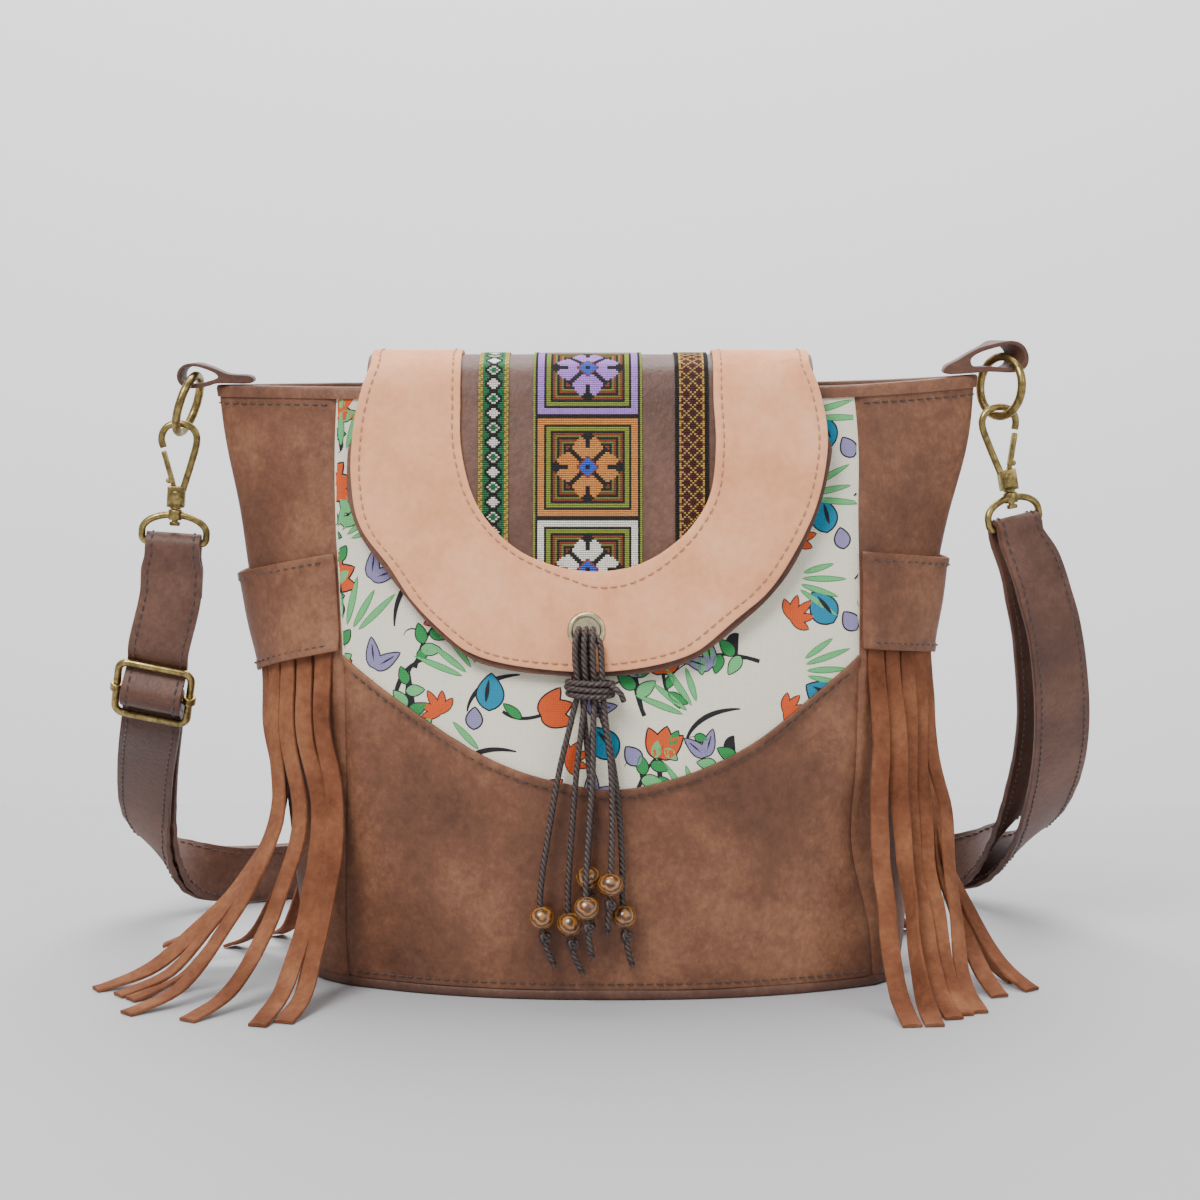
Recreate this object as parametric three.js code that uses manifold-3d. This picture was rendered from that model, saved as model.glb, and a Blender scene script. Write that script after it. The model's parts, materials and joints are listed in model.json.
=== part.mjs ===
// A fringed crossbody bag of brown faux leather: curved front with a printed canvas upper panel, folded gussets
// with suede fringes, a flap with a nubuck overlay and woven ribbons, a beaded cord tassel and a doubled strap.
// Millimetres, +Z up, the bag faces -Y, and the origin is the centre of the underside on the ground.
import * as THREE from "three";
import { mergeVertices } from "three/addons/utils/BufferGeometryUtils.js";
import Module from "manifold-3d";

const wasm = await Module();
wasm.setup();

// Body
const RIM_HALF_WIDTH = 158.5;
const BODY_HEIGHT = 250;
const BASE_HALF_DEPTH = 57.5;
const WALL = 2;
const FIT = 0.3;
const BASE_THICKNESS = 4.4;
const BASE_INSET = 0.6;
const BINDING_HEIGHT = 5;
const BINDING_LIP = 0.7;
const RIGHT_CORNER_LIFT = 4.5;
const PANEL_CURVE = 2.4;

// Side bands and fringes
const BAND_THICKNESS = 1.8;
const BAND_GAP = 2.4;
const FRINGE_HEAD_GAP = 0.5;
const FRINGE_HEAD_THICKNESS = 0.9;
const FRINGE_HEAD_HEIGHT = 9;
const STRIP_WIDTH = 8;
const STRIP_THICKNESS = 1;

// Flap
const FLAP_SHEET = 1.4;
const OVERLAY_SHEET = 1.4;
const OVERLAY_INSET = 1.3;
const RIBBON_SHEET = 0.9;
const CENTRE_BAND_WIDTH = 45;
const CENTRE_BAND_X = -5;
const LEFT_RIBBON_WIDTH = 12.5;
const LEFT_RIBBON_X = -43.5;
const RIGHT_RIBBON_WIDTH = 14;
const RIGHT_RIBBON_X = 37.5;

// Eyelet and tassel
const EYELET_X = -5.5;
const EYELET_Z = 152.3;
const EYELET_BORE = 5.5;
const EYELET_RADIUS = 7.8;
const CORD_RADIUS = 1.25;
const BEAD_RADIUS = 5.3;
const KNOT_RADIUS = 2.7;

// Metal fittings
const RING_RADIUS = 12.5;
const RING_WIRE = 1.8;
const RING_PLAY = 0.5;
const HOOK_WIRE = 1.5;
const HOOK_DEPTH = 4.4;
const STEM_RADIUS = 1.3;
const SWIVEL_WIRE = 1.5;
const SWIVEL_HALF_WIDTH = 13.6;
const SLIDER_HALF_WIDTH = 15.8;
const SLIDER_HALF_HEIGHT = 13;
const SLIDER_WIRE = 1.65;
const BAR_RADIUS = 1.4;

// Strap
const STRAP_WIDTH = 26;
const STRAP_THICKNESS = 2.6;
const STRAP_PITCH = STRAP_THICKNESS + 0.5;

const LEATHER = new THREE.MeshStandardMaterial({ color: "#6b4a3b", roughness: 0.55, metalness: 0 });
const DARK_LEATHER = new THREE.MeshStandardMaterial({ color: "#573b2e", roughness: 0.6, metalness: 0 });
const CANVAS = new THREE.MeshStandardMaterial({ color: "#ece6d2", roughness: 0.9, metalness: 0 });
const NUBUCK = new THREE.MeshStandardMaterial({ color: "#dfae8b", roughness: 0.85, metalness: 0 });
const SUEDE = new THREE.MeshStandardMaterial({ color: "#a9714f", roughness: 0.95, metalness: 0 });
const EMBROIDERY = new THREE.MeshStandardMaterial({ color: "#6f7a3a", roughness: 0.8, metalness: 0 });
const RIBBON_GREEN = new THREE.MeshStandardMaterial({ color: "#2c4a35", roughness: 0.7, metalness: 0 });
const RIBBON_RED = new THREE.MeshStandardMaterial({ color: "#5c2320", roughness: 0.7, metalness: 0 });
const BRASS = new THREE.MeshStandardMaterial({ color: "#a08a4e", roughness: 0.4, metalness: 1 });
const PALE_BRASS = new THREE.MeshStandardMaterial({ color: "#d8cba2", roughness: 0.35, metalness: 1 });
const CORD = new THREE.MeshStandardMaterial({ color: "#3f3233", roughness: 0.6, metalness: 0 });
const WOOD = new THREE.MeshStandardMaterial({ color: "#7a4a1c", roughness: 0.25, metalness: 0 });

// Cross-sections of the body. Columns: share of the height; left ridge, left seam, right seam and right ridge
// as shares of the rim's half width; front, seam and back depths as shares of the base's half depth;
// fullness of the gusset (1 is a sharp fold, 2 is round).
const SECTIONS = [
  [0.0, 0.782, 0.666, 0.728, 0.806, 0.985, 0.54, 0.95, 2.2],
  [0.1, 0.804, 0.675, 0.714, 0.822, 1.0, 0.545, 0.97, 2.1],
  [0.24, 0.83, 0.672, 0.665, 0.828, 1.0, 0.56, 0.96, 1.8],
  [0.38, 0.855, 0.669, 0.674, 0.843, 0.985, 0.585, 0.93, 1.6],
  [0.52, 0.89, 0.671, 0.678, 0.864, 0.93, 0.59, 0.86, 1.4],
  [0.66, 0.931, 0.681, 0.679, 0.893, 0.83, 0.54, 0.76, 1.25],
  [0.78, 0.956, 0.691, 0.675, 0.927, 0.7, 0.48, 0.64, 1.15],
  [0.9, 0.993, 0.693, 0.675, 0.977, 0.56, 0.4, 0.52, 1.1],
  [1.0, 1.01, 0.686, 0.661, 0.994, 0.45, 0.35, 0.44, 1.1],
];

// Top edge of the lower front panel. Columns: share from the left seam to the right one; share of the height.
const YOKE_LINE = [
  [0, 0.552],
  [0.08, 0.5],
  [0.16, 0.455],
  [0.25, 0.408],
  [0.34, 0.374],
  [0.44, 0.352],
  [0.52, 0.343],
  [0.6, 0.352],
  [0.7, 0.378],
  [0.8, 0.42],
  [0.9, 0.485],
  [1, 0.552],
];

// Flap profile at the middle, from its sewn end on the back, over the mouth and down the front.
// Columns: depth as a share of the base's half depth; height as a share of the body's height;
// share of the panel's roundness that the flap follows there.
const FLAP_PROFILE = [
  [0.665, 0.85, -0.6],
  [0.575, 0.94, -0.6],
  [0.5, 1.0, -0.4],
  [0.4, 1.027, -0.2],
  [0.2, 1.041, 0],
  [-0.05, 1.045, 0],
  [-0.28, 1.041, 0],
  [-0.43, 1.028, 0.2],
  [-0.52, 1.003, 0.4],
  [-0.58, 0.96, 0.55],
  [-0.68, 0.88, 0.6],
  [-0.77, 0.78, 0.6],
  [-0.875, 0.66, 0.6],
  [-0.945, 0.58, 0.6],
  [-0.975, 0.53, 0.6],
];

// Outline of the flap's front. Columns: share of the body's height; left edge and right edge as shares of
// the rim's half width.
const FLAP_OUTLINE = [
  [1.05, 0.603, 0.552],
  [0.976, 0.634, 0.584],
  [0.912, 0.649, 0.6],
  [0.864, 0.653, 0.59],
  [0.816, 0.649, 0.571],
  [0.76, 0.618, 0.536],
  [0.704, 0.552, 0.489],
  [0.656, 0.492, 0.426],
  [0.62, 0.442, 0.36],
  [0.588, 0.385, 0.297],
  [0.56, 0.315, 0.227],
  [0.546, 0.227, 0.151],
  [0.538, 0.101, 0.05],
];

// The overlay's U, from the left end to the right. Columns: outer x, outer height, inner x, inner height,
// across as shares of the rim's half width and up as shares of the body's height.
const OVERLAY_U = [
  [-0.624, 0.976, -0.36, 0.976],
  [-0.64, 0.912, -0.357, 0.9],
  [-0.642, 0.85, -0.33, 0.83],
  [-0.622, 0.78, -0.284, 0.781],
  [-0.536, 0.704, -0.214, 0.74],
  [-0.432, 0.622, -0.126, 0.715],
  [-0.3, 0.566, -0.06, 0.706],
  [-0.1, 0.546, -0.014, 0.704],
  [0.045, 0.546, 0.036, 0.706],
  [0.212, 0.567, 0.098, 0.715],
  [0.346, 0.625, 0.172, 0.74],
  [0.473, 0.704, 0.24, 0.78],
  [0.553, 0.8, 0.284, 0.83],
  [0.587, 0.9, 0.298, 0.9],
  [0.574, 0.976, 0.293, 0.976],
];

// Fringe strips of each side. Columns: place round the gusset (-1 front seam, 0 ridge, 1 back seam);
// knee x, y, z and tip x, y in millimetres from the ridge's foot, x counted outward; raise of the tip;
// twist in degrees.
const LEFT_STRIPS = [
  [-0.86, -15, -44, 66, 2, -94, 0, 0],
  [-0.68, -8, -40, 62, 12, -99, 0, 0],
  [-0.49, 2, -36, 62, 41, -91, 0, 0],
  [-0.3, 12, -30, 66, 67, -80, 0, 0],
  [-0.1, 14, -18, 60, 69, -57, 0, 30],
  [0.1, 18, -12, 58, 75, -50, 0, 0],
  [0.29, 20, -6, 52, 86, -40, 0, -30],
  [0.46, 20, 6, 50, 64, 8, 8, 0],
  [0.62, 8, 14, 48, 40, 40, 0, 0],
  [0.76, 0, 30, 52, 22, 62, 0, 0],
  [0.9, -10, 40, 56, 6, 76, 0, 0],
];
const RIGHT_STRIPS = [
  [-0.86, -12, -46, 52, -4, -100, 0, 0],
  [-0.68, -2, -42, 56, 5, -99, 0, 70],
  [-0.49, 3, -36, 50, 14, -88, 0, 0],
  [-0.3, 9, -30, 54, 19, -82, 0, 0],
  [-0.1, 18, -24, 62, 25, -78, 0, -36],
  [0.1, 20, -8, 40, 37, -52, 0, 0],
  [0.29, 22, -6, 44, 52, -41, 0, 0],
  [0.47, 20, 4, 44, 46, -28, 0, 0],
  [0.66, 6, 24, 50, 24, 50, 0, 0],
  [0.86, -6, 40, 56, 10, 74, 0, 0],
];

// Tassel cords, each point x, y, z, from behind the eyelet to the frayed end. The bead and the knot under it
// sit on the straight piece between the last point but two and the last but one.
const CORDS = [
  [[-8.5, -52.2, 153.7], [-8.8, -58.4, 153.6], [-9.8, -62.4, 150.6], [-10, -63, 142], [-8.9, -63, 130.2],
    [-11.4, -62.8, 118], [-16.4, -63, 97], [-20.4, -63.8, 74], [-23.4, -64.6, 54], [-24.3, -64.9, 42.1],
    [-22.2, -65.2, 25.4], [-19.5, -64.4, 18.5]],
  [[-5.7, -52.2, 153.7], [-5.8, -58.4, 153.6], [-6.3, -62.5, 150.8], [-6.4, -63.2, 142], [-5.6, -63, 130.2],
    [-7, -63.6, 118], [-9.4, -64.2, 97], [-11.2, -64.8, 74], [-12.6, -65.2, 54], [-12.9, -65.4, 39.6],
    [-10.9, -65.8, 22.9], [-8, -65, 15.5]],
  [[-2.9, -52.2, 153.7], [-2.9, -58.4, 153.6], [-3, -62.6, 150.8], [-2.9, -63.2, 142], [-2.3, -63, 130.2],
    [-2.6, -65.4, 118], [-3, -68, 97], [-4.4, -70.8, 74], [-5.4, -72.8, 58], [-5.7, -73.5, 48.1],
    [-4.7, -74.2, 31.3], [-3.6, -73.6, 24]],
  [[-8.5, -52.2, 150.9], [-8.4, -57.6, 150.8], [-8.5, -59.4, 148.8], [-8.4, -60, 142], [-7.2, -60, 130.2],
    [-6.4, -60.8, 118], [-4.4, -61.2, 97], [-3.6, -61.6, 76], [-4.7, -62.6, 65], [-4.9, -63.1, 58.2],
    [-4.1, -64.1, 41.5], [-3.4, -64, 34.5]],
  [[-2.9, -52.2, 150.9], [-2.5, -57.8, 150.8], [-0.2, -60.2, 149], [0.6, -61.6, 141.6], [1, -63, 130.2],
    [2.2, -64.6, 118], [4.4, -66.6, 98], [5, -68.8, 78], [4.7, -70.4, 65], [4.5, -71.1, 57.1],
    [3.7, -71.8, 40.4], [3, -71.4, 33.5]],
  [[-5.7, -52.2, 150.9], [-5.4, -57.6, 150.8], [-4.6, -59.4, 148.8], [-3.9, -60, 142], [-3.9, -60, 130.2],
    [1.6, -60.8, 116], [5.6, -61.4, 97], [8.2, -62.4, 74], [9, -64, 56], [9.2, -64.6, 42.6],
    [10.9, -65.1, 25.9], [12.6, -64.4, 18.5]],
];
const BEAD_PLACE = 0.33;
const KNOT_PLACE = 0.82;

// Main run of the strap from the slider down behind the bag to the right fitting. Columns: x, y, z of the
// outer layer; direction across the strap; distance to the inner layer.
const STRAP_RUN = [
  [-200, 44, 82, 0.94, -0.33, -0.06, 6.6],
  [-205, 70, 58, 0.9, -0.42, -0.12, 6],
  [-206, 92, 38, 0.72, -0.6, -0.34, 5],
  [-199, 109, 24, 0.42, -0.6, -0.68, 4.4],
  [-186, 121, 16.6, 0.12, -0.3, -0.95, 3.8],
  [-168, 131, 14, 0, 0, -1, 3.4],
  [-110, 156, 13.6, 0, 0, -1, 3.4],
  [-40, 171, 13.6, 0, 0, -1, 3.4],
  [30, 173, 13.6, 0, 0, -1, 3.4],
  [100, 167, 13.6, 0, 0, -1, 3.6],
  [154, 153, 14.2, -0.02, -0.06, -1, 4.4],
  [177, 137, 18.4, -0.2, -0.34, -0.92, 6.4],
  [190, 117, 27, -0.5, -0.54, -0.67, 9],
  [198, 92, 41, -0.75, -0.54, -0.36, 12],
  [201, 66, 60, -0.86, -0.47, -0.16, 15],
  [201.5, 40, 84, -0.91, -0.41, -0.04, 17],
  [199, 19, 112, -0.92, -0.38, -0.04, 16.4],
  [193, 6, 146, -0.89, -0.42, -0.12, 12.4],
  [184, -1, 173, -0.85, -0.48, -0.18, 7.4],
];

// The strap's way through the slider. Columns: along the strap as a share of the slider's half height; depth
// behind the slider's plane as a share of the pitch of two layers.
const OUTER_WEAVE = [
  [1.69, 0.39],
  [1, 1.16],
  [0.754, 0.774],
  [0.415, -0.968],
  [0.23, -1.81],
  [0, -2.13],
  [-0.23, -1.81],
  [-0.415, -0.968],
  [-0.754, 0.774],
  [-1, 1.16],
  [-1.62, 1.16],
];
const INNER_WEAVE = [
  [-1.62, 3.19],
  [-1, 3.13],
  [-0.615, 2.61],
  [-0.23, 1.68],
  [0.115, 0.84],
  [0.23, 0],
  [0.162, -0.677],
  [0, -0.968],
  [-0.138, -0.774],
  [-0.354, 0.194],
  [-0.615, 1.55],
  [-1, 2.16],
  [-1.46, 2.16],
];

// Leather loops that hold the rings, drawn in the plane of the front: outer line, then the hole. Lengths in
// millimetres from the corner of the rim, outward and up.
const LEFT_TAB = {
  outer: [[-14, 0.7], [-0.5, 0.6], [5, -0.9], [11, -1.4], [15, 0.6], [15.9, 4.7], [13.4, 8.2], [8.5, 9.1],
    [2, 7.4], [-5, 4.6], [-14, 3.8]],
  hole: [
    [0, 2.8], [5, 1.1], [10.6, 0.2], [13.8, 1.7], [14.3, 4.7], [12.6, 7.1], [8.3, 7.7], [3, 6], [0, 4.2],
  ],
};
const RIGHT_TAB = {
  outer: [[-13, 0.2], [-2, 0.5], [5, 1.3], [11, 0.7], [16.6, 2.5], [18, 7.3], [15.4, 12.5], [9.6, 14], [0.4, 11],
    [-8, 6.2], [-13, 3.4]],
  hole: [[-1.4, 3.3], [5, 3.3], [10.8, 2.4], [14.9, 3.9], [16.1, 7.5], [14, 11.1], [9.4, 12.3], [1.4, 9.3],
    [-2.6, 6.4]],
};
const TAB_WIDTH = 10;

// Straight-line reading of a table whose first column rises or falls.
function read(table, at, column) {
  const rising = table[table.length - 1][0] > table[0][0];
  const rows = rising ? table : [...table].reverse();
  let i = 0;
  while (i < rows.length - 2 && at > rows[i + 1][0]) i++;
  const share = THREE.MathUtils.clamp((at - rows[i][0]) / (rows[i + 1][0] - rows[i][0]), 0, 1);
  return THREE.MathUtils.lerp(rows[i][column], rows[i + 1][column], share);
}

// Place on a table's row by its share of the list, read between rows.
function readAlong(table, share, column) {
  const place = share * (table.length - 1);
  const i = Math.min(Math.floor(place), table.length - 2);
  return THREE.MathUtils.lerp(table[i][column], table[i + 1][column], place - i);
}

function vector(x, y, z) {
  return new THREE.Vector3(x, y, z);
}

// Signed volume, positive when the faces point out.
function signedVolume(points, index) {
  let sum = 0;
  for (let i = 0; i < index.length; i += 3) {
    const cross = vector().crossVectors(points[index[i + 1]], points[index[i + 2]]);
    sum += points[index[i]].dot(cross);
  }
  return sum / 6;
}

// A closed geometry with its faces turned outward.
function closedGeometry(points, index) {
  if (signedVolume(points, index) < 0) index.reverse();
  const geometry = new THREE.BufferGeometry().setFromPoints(points);
  geometry.setIndex(index);
  geometry.computeVertexNormals();
  return geometry;
}

// A three.js geometry with only its positions kept and its shared corners joined.
function joined(geometry) {
  const bare = geometry.clone();
  for (const name of Object.keys(bare.attributes)) {
    if (name !== "position") bare.deleteAttribute(name);
  }
  const merged = mergeVertices(bare, 1e-4);
  const points = [];
  for (let i = 0; i < merged.attributes.position.count; i++) {
    points.push(vector().fromBufferAttribute(merged.attributes.position, i));
  }
  return closedGeometry(points, Array.from(merged.index.array));
}

function solid(geometry) {
  const merged = joined(geometry);
  return new wasm.Manifold(new wasm.Mesh({
    numProp: 3,
    vertProperties: merged.attributes.position.array,
    triVerts: new Uint32Array(merged.index.array),
  }));
}

function geometryOf(manifold) {
  const mesh = manifold.getMesh();
  const geometry = new THREE.BufferGeometry();
  geometry.setAttribute("position", new THREE.BufferAttribute(mesh.vertProperties, 3));
  geometry.setIndex(new THREE.BufferAttribute(mesh.triVerts, 1));
  geometry.computeVertexNormals();
  return geometry;
}

function fuse(...geometries) {
  return geometryOf(geometries.map(solid).reduce((whole, next) => whole.add(next)));
}

function cut(geometry, ...tools) {
  return geometryOf(tools.map(solid).reduce((whole, tool) => whole.subtract(tool), solid(geometry)));
}

// A thin closed sheet between two grids of points of the same size.
function sheet(outer, inner) {
  const rows = outer.length;
  const columns = outer[0].length;
  const back = rows * columns;
  const index = [];
  const quad = (a, b, c, d) => index.push(a, b, c, a, c, d);
  for (let row = 0; row < rows - 1; row++) {
    for (let column = 0; column < columns - 1; column++) {
      const i = row * columns + column;
      quad(i, i + 1, i + columns + 1, i + columns);
      quad(back + i, back + i + columns, back + i + columns + 1, back + i + 1);
    }
  }
  for (let i = 0; i < columns - 1; i++) {
    const j = (rows - 1) * columns + i;
    quad(i, back + i, back + i + 1, i + 1);
    quad(j, j + 1, back + j + 1, back + j);
  }
  for (let row = 0; row < rows - 1; row++) {
    const i = row * columns;
    const j = i + columns - 1;
    quad(i, i + columns, back + i + columns, back + i);
    quad(j, back + j, back + j + columns, j + columns);
  }
  return closedGeometry([...outer.flat(), ...inner.flat()], index);
}

// A tube through rings of points, either closed on itself or capped at both ends.
function sweep(rings, closed = false) {
  const sides = rings[0].length;
  const index = [];
  const spans = closed ? rings.length : rings.length - 1;
  for (let ring = 0; ring < spans; ring++) {
    const next = ((ring + 1) % rings.length) * sides;
    for (let side = 0; side < sides; side++) {
      const turn = (side + 1) % sides;
      const a = ring * sides;
      index.push(a + side, a + turn, next + turn, a + side, next + turn, next + side);
    }
  }
  if (!closed) {
    const last = (rings.length - 1) * sides;
    for (let side = 1; side < sides - 1; side++) {
      index.push(0, side + 1, side, last, last + side, last + side + 1);
    }
  }
  return closedGeometry(rings.flat(), index);
}

// A flat band through stations of a point and a direction across; a station may have a width of its own.
function band(stations, width, thickness) {
  const rings = stations.map(({ at, across, wide = width }, i) => {
    const before = stations[Math.max(i - 1, 0)].at;
    const after = stations[Math.min(i + 1, stations.length - 1)].at;
    const along = after.clone().sub(before).normalize();
    const side = across.clone().addScaledVector(along, -across.dot(along)).normalize();
    const up = side.clone().cross(along);
    return [[-1, -1], [1, -1], [1, 1], [-1, 1]].map(([s, u]) =>
      at.clone().addScaledVector(side, (s * wide) / 2).addScaledVector(up, (u * thickness) / 2));
  });
  return sweep(rings);
}

// Plan of the body: the front from the left seam, the right gusset, the back and the left gusset.
const FRONT_CELLS = 12;
const GUSSET_CELLS = 8;
const FRONT_LEFT = 0;
const FRONT_RIGHT = FRONT_CELLS;
const RIGHT_RIDGE = FRONT_RIGHT + GUSSET_CELLS / 2;
const BACK_RIGHT = FRONT_RIGHT + GUSSET_CELLS;
const BACK_LEFT = BACK_RIGHT + FRONT_CELLS;
const LEFT_RIDGE = BACK_LEFT + GUSSET_CELLS / 2;
const LOOP = BACK_LEFT + GUSSET_CELLS;
const SHARPEST_MITRE = 0.38;

function sectionAt(z) {
  const share = z / BODY_HEIGHT;
  const [ridgeLeft, seamLeft, seamRight, ridgeRight] = [1, 2, 3, 4].map(
    (column) => read(SECTIONS, share, column) * RIM_HALF_WIDTH);
  const [front, seam, back] = [5, 6, 7].map((column) => read(SECTIONS, share, column) * BASE_HALF_DEPTH);
  return { ridgeLeft, seamLeft, seamRight, ridgeRight, front, seam, back, full: read(SECTIONS, share, 8) };
}

function planAt(z) {
  const s = sectionAt(z);
  const middle = (s.seamRight - s.seamLeft) / 2;
  const half = (s.seamRight + s.seamLeft) / 2;
  const plan = [];
  for (let i = 0; i < FRONT_CELLS; i++) {
    const share = (2 * i) / FRONT_CELLS - 1;
    const bulge = (s.front - s.seam) * (1 - Math.abs(share) ** PANEL_CURVE);
    plan.push([middle + share * half, -s.seam - bulge]);
  }
  for (let i = 0; i < GUSSET_CELLS; i++) {
    const turn = (2 * i) / GUSSET_CELLS - 1;
    const out = (s.ridgeRight - s.seamRight) * (1 - Math.abs(turn) ** s.full);
    plan.push([s.seamRight + out, s.seam * turn]);
  }
  for (let i = 0; i < FRONT_CELLS; i++) {
    const share = 1 - (2 * i) / FRONT_CELLS;
    const bulge = (s.back - s.seam) * (1 - Math.abs(share) ** PANEL_CURVE);
    plan.push([middle + share * half, s.seam + bulge]);
  }
  for (let i = 0; i < GUSSET_CELLS; i++) {
    const turn = 1 - (2 * i) / GUSSET_CELLS;
    const out = (s.ridgeLeft - s.seamLeft) * (1 - Math.abs(turn) ** s.full);
    plan.push([-s.seamLeft - out, s.seam * turn]);
  }
  return plan;
}

// The plan with each corner's outward mitre.
function outlineAt(z) {
  const plan = planAt(z);
  return plan.map(([x, y], i) => {
    const [px, py] = plan[(i + LOOP - 1) % LOOP];
    const [nx, ny] = plan[(i + 1) % LOOP];
    const before = new THREE.Vector2(y - py, px - x).normalize();
    const after = new THREE.Vector2(ny - y, x - nx).normalize();
    const out = before.clone().add(after).normalize();
    out.divideScalar(Math.max(SHARPEST_MITRE, out.dot(before)));
    return { x, y, out };
  });
}

function cornerLift(x, z) {
  const outward = Math.max(0, (x / RIM_HALF_WIDTH - 0.4) / 0.6);
  return RIGHT_CORNER_LIFT * outward ** 2 * (z / BODY_HEIGHT) ** 6;
}

// A point at a place round the plan, at a height, and at a distance outward of the walls' outer face.
const outlines = new Map();
function bodyPoint(place, z, outward) {
  const key = z.toFixed(3);
  if (!outlines.has(key)) outlines.set(key, outlineAt(z));
  const outline = outlines.get(key);
  const i = Math.floor(place);
  const a = outline[i % LOOP];
  const b = outline[(i + 1) % LOOP];
  const x = THREE.MathUtils.lerp(a.x + a.out.x * outward, b.x + b.out.x * outward, place - i);
  const y = THREE.MathUtils.lerp(a.y + a.out.y * outward, b.y + b.out.y * outward, place - i);
  return vector(x, y, z + cornerLift(x, z));
}

// Places from one seam to the next, drawn in a little at both ends.
function placesBetween(from, to, inset) {
  const places = [];
  for (let place = from; place <= to; place++) places.push(place);
  places[0] += inset;
  places[places.length - 1] -= inset;
  return places;
}

// Rows of a wall at the heights of the cross-sections, as shares of the way from bottom to top.
function rowShares(bottom, top) {
  const heights = SECTIONS.map((row) => row[0] * BODY_HEIGHT).filter((z) => z > bottom + 1 && z < top - 1);
  return [bottom, ...heights, top].map((z) => (z - bottom) / (top - bottom));
}

// A piece of the wall between two heights, which may follow the places round the plan.
function wall(places, shares, bottom, top, inner = -WALL, outer = 0) {
  const grid = (outward) => shares.map((share) => places.map((place) => {
    const z = THREE.MathUtils.lerp(bottom(place), top(place), share);
    return bodyPoint(place, z, outward);
  }));
  return sheet(grid(outer), grid(inner));
}

const SEAM_INSET = 0.02;
const WALL_BOTTOM = BASE_THICKNESS + FIT;
const WALL_TOP = BODY_HEIGHT - BINDING_HEIGHT - FIT;

function yokeHeight(place) {
  return read(YOKE_LINE, (place - FRONT_LEFT) / FRONT_CELLS, 1) * BODY_HEIGHT;
}

function lowerPanel() {
  const places = placesBetween(FRONT_LEFT, FRONT_RIGHT, SEAM_INSET);
  const top = (place) => yokeHeight(place) - FIT / 2;
  return wall(places, rowShares(WALL_BOTTOM, top(FRONT_LEFT)), () => WALL_BOTTOM, top);
}

function canvasPanel() {
  const places = placesBetween(FRONT_LEFT, FRONT_RIGHT, SEAM_INSET);
  const bottom = (place) => yokeHeight(place) + FIT / 2;
  return wall(places, rowShares(bottom(FRONT_LEFT), WALL_TOP), bottom, () => WALL_TOP);
}

function plainWall(from, to) {
  const shares = rowShares(WALL_BOTTOM, WALL_TOP);
  return wall(placesBetween(from, to, SEAM_INSET), shares, () => WALL_BOTTOM, () => WALL_TOP);
}

function basePanel() {
  const outline = placesBetween(0, LOOP - 1, 0).map((place) => bodyPoint(place, 0, -BASE_INSET));
  const shape = new THREE.Shape(outline.map((p) => new THREE.Vector2(p.x, p.y)));
  return new THREE.ExtrudeGeometry(shape, { depth: BASE_THICKNESS, bevelEnabled: false });
}

function rimBinding() {
  const corners = [[-BINDING_HEIGHT, BINDING_LIP], [0, BINDING_LIP], [0, -WALL - BINDING_LIP],
    [-BINDING_HEIGHT, -WALL - BINDING_LIP]];
  const rings = placesBetween(0, LOOP - 1, 0).map((place) =>
    corners.map(([down, out]) => bodyPoint(place, BODY_HEIGHT + down, out)));
  return sweep(rings, true);
}

// Side bands. Each edge falls from the seams to the ridge; heights are shares of the body's height.
const LEFT_BAND = { ridge: LEFT_RIDGE, toFront: 1, top: [0.728, 0.682], bottom: [0.568, 0.516] };
const RIGHT_BAND = { ridge: RIGHT_RIDGE, toFront: -1, top: [0.731, 0.706], bottom: [0.571, 0.547] };

function bandEdge(side, edge, place) {
  const turn = Math.abs(place - side.ridge) / (GUSSET_CELLS / 2);
  return THREE.MathUtils.lerp(side[edge][1], side[edge][0], turn) * BODY_HEIGHT;
}

function gussetPlaces(side) {
  return placesBetween(side.ridge - GUSSET_CELLS / 2, side.ridge + GUSSET_CELLS / 2, 0.06);
}

function sideBand(side) {
  const bottom = (place) => bandEdge(side, "bottom", place);
  const top = (place) => bandEdge(side, "top", place);
  return wall(gussetPlaces(side), [0, 0.33, 0.67, 1], bottom, top, BAND_GAP, BAND_GAP + BAND_THICKNESS);
}

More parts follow.
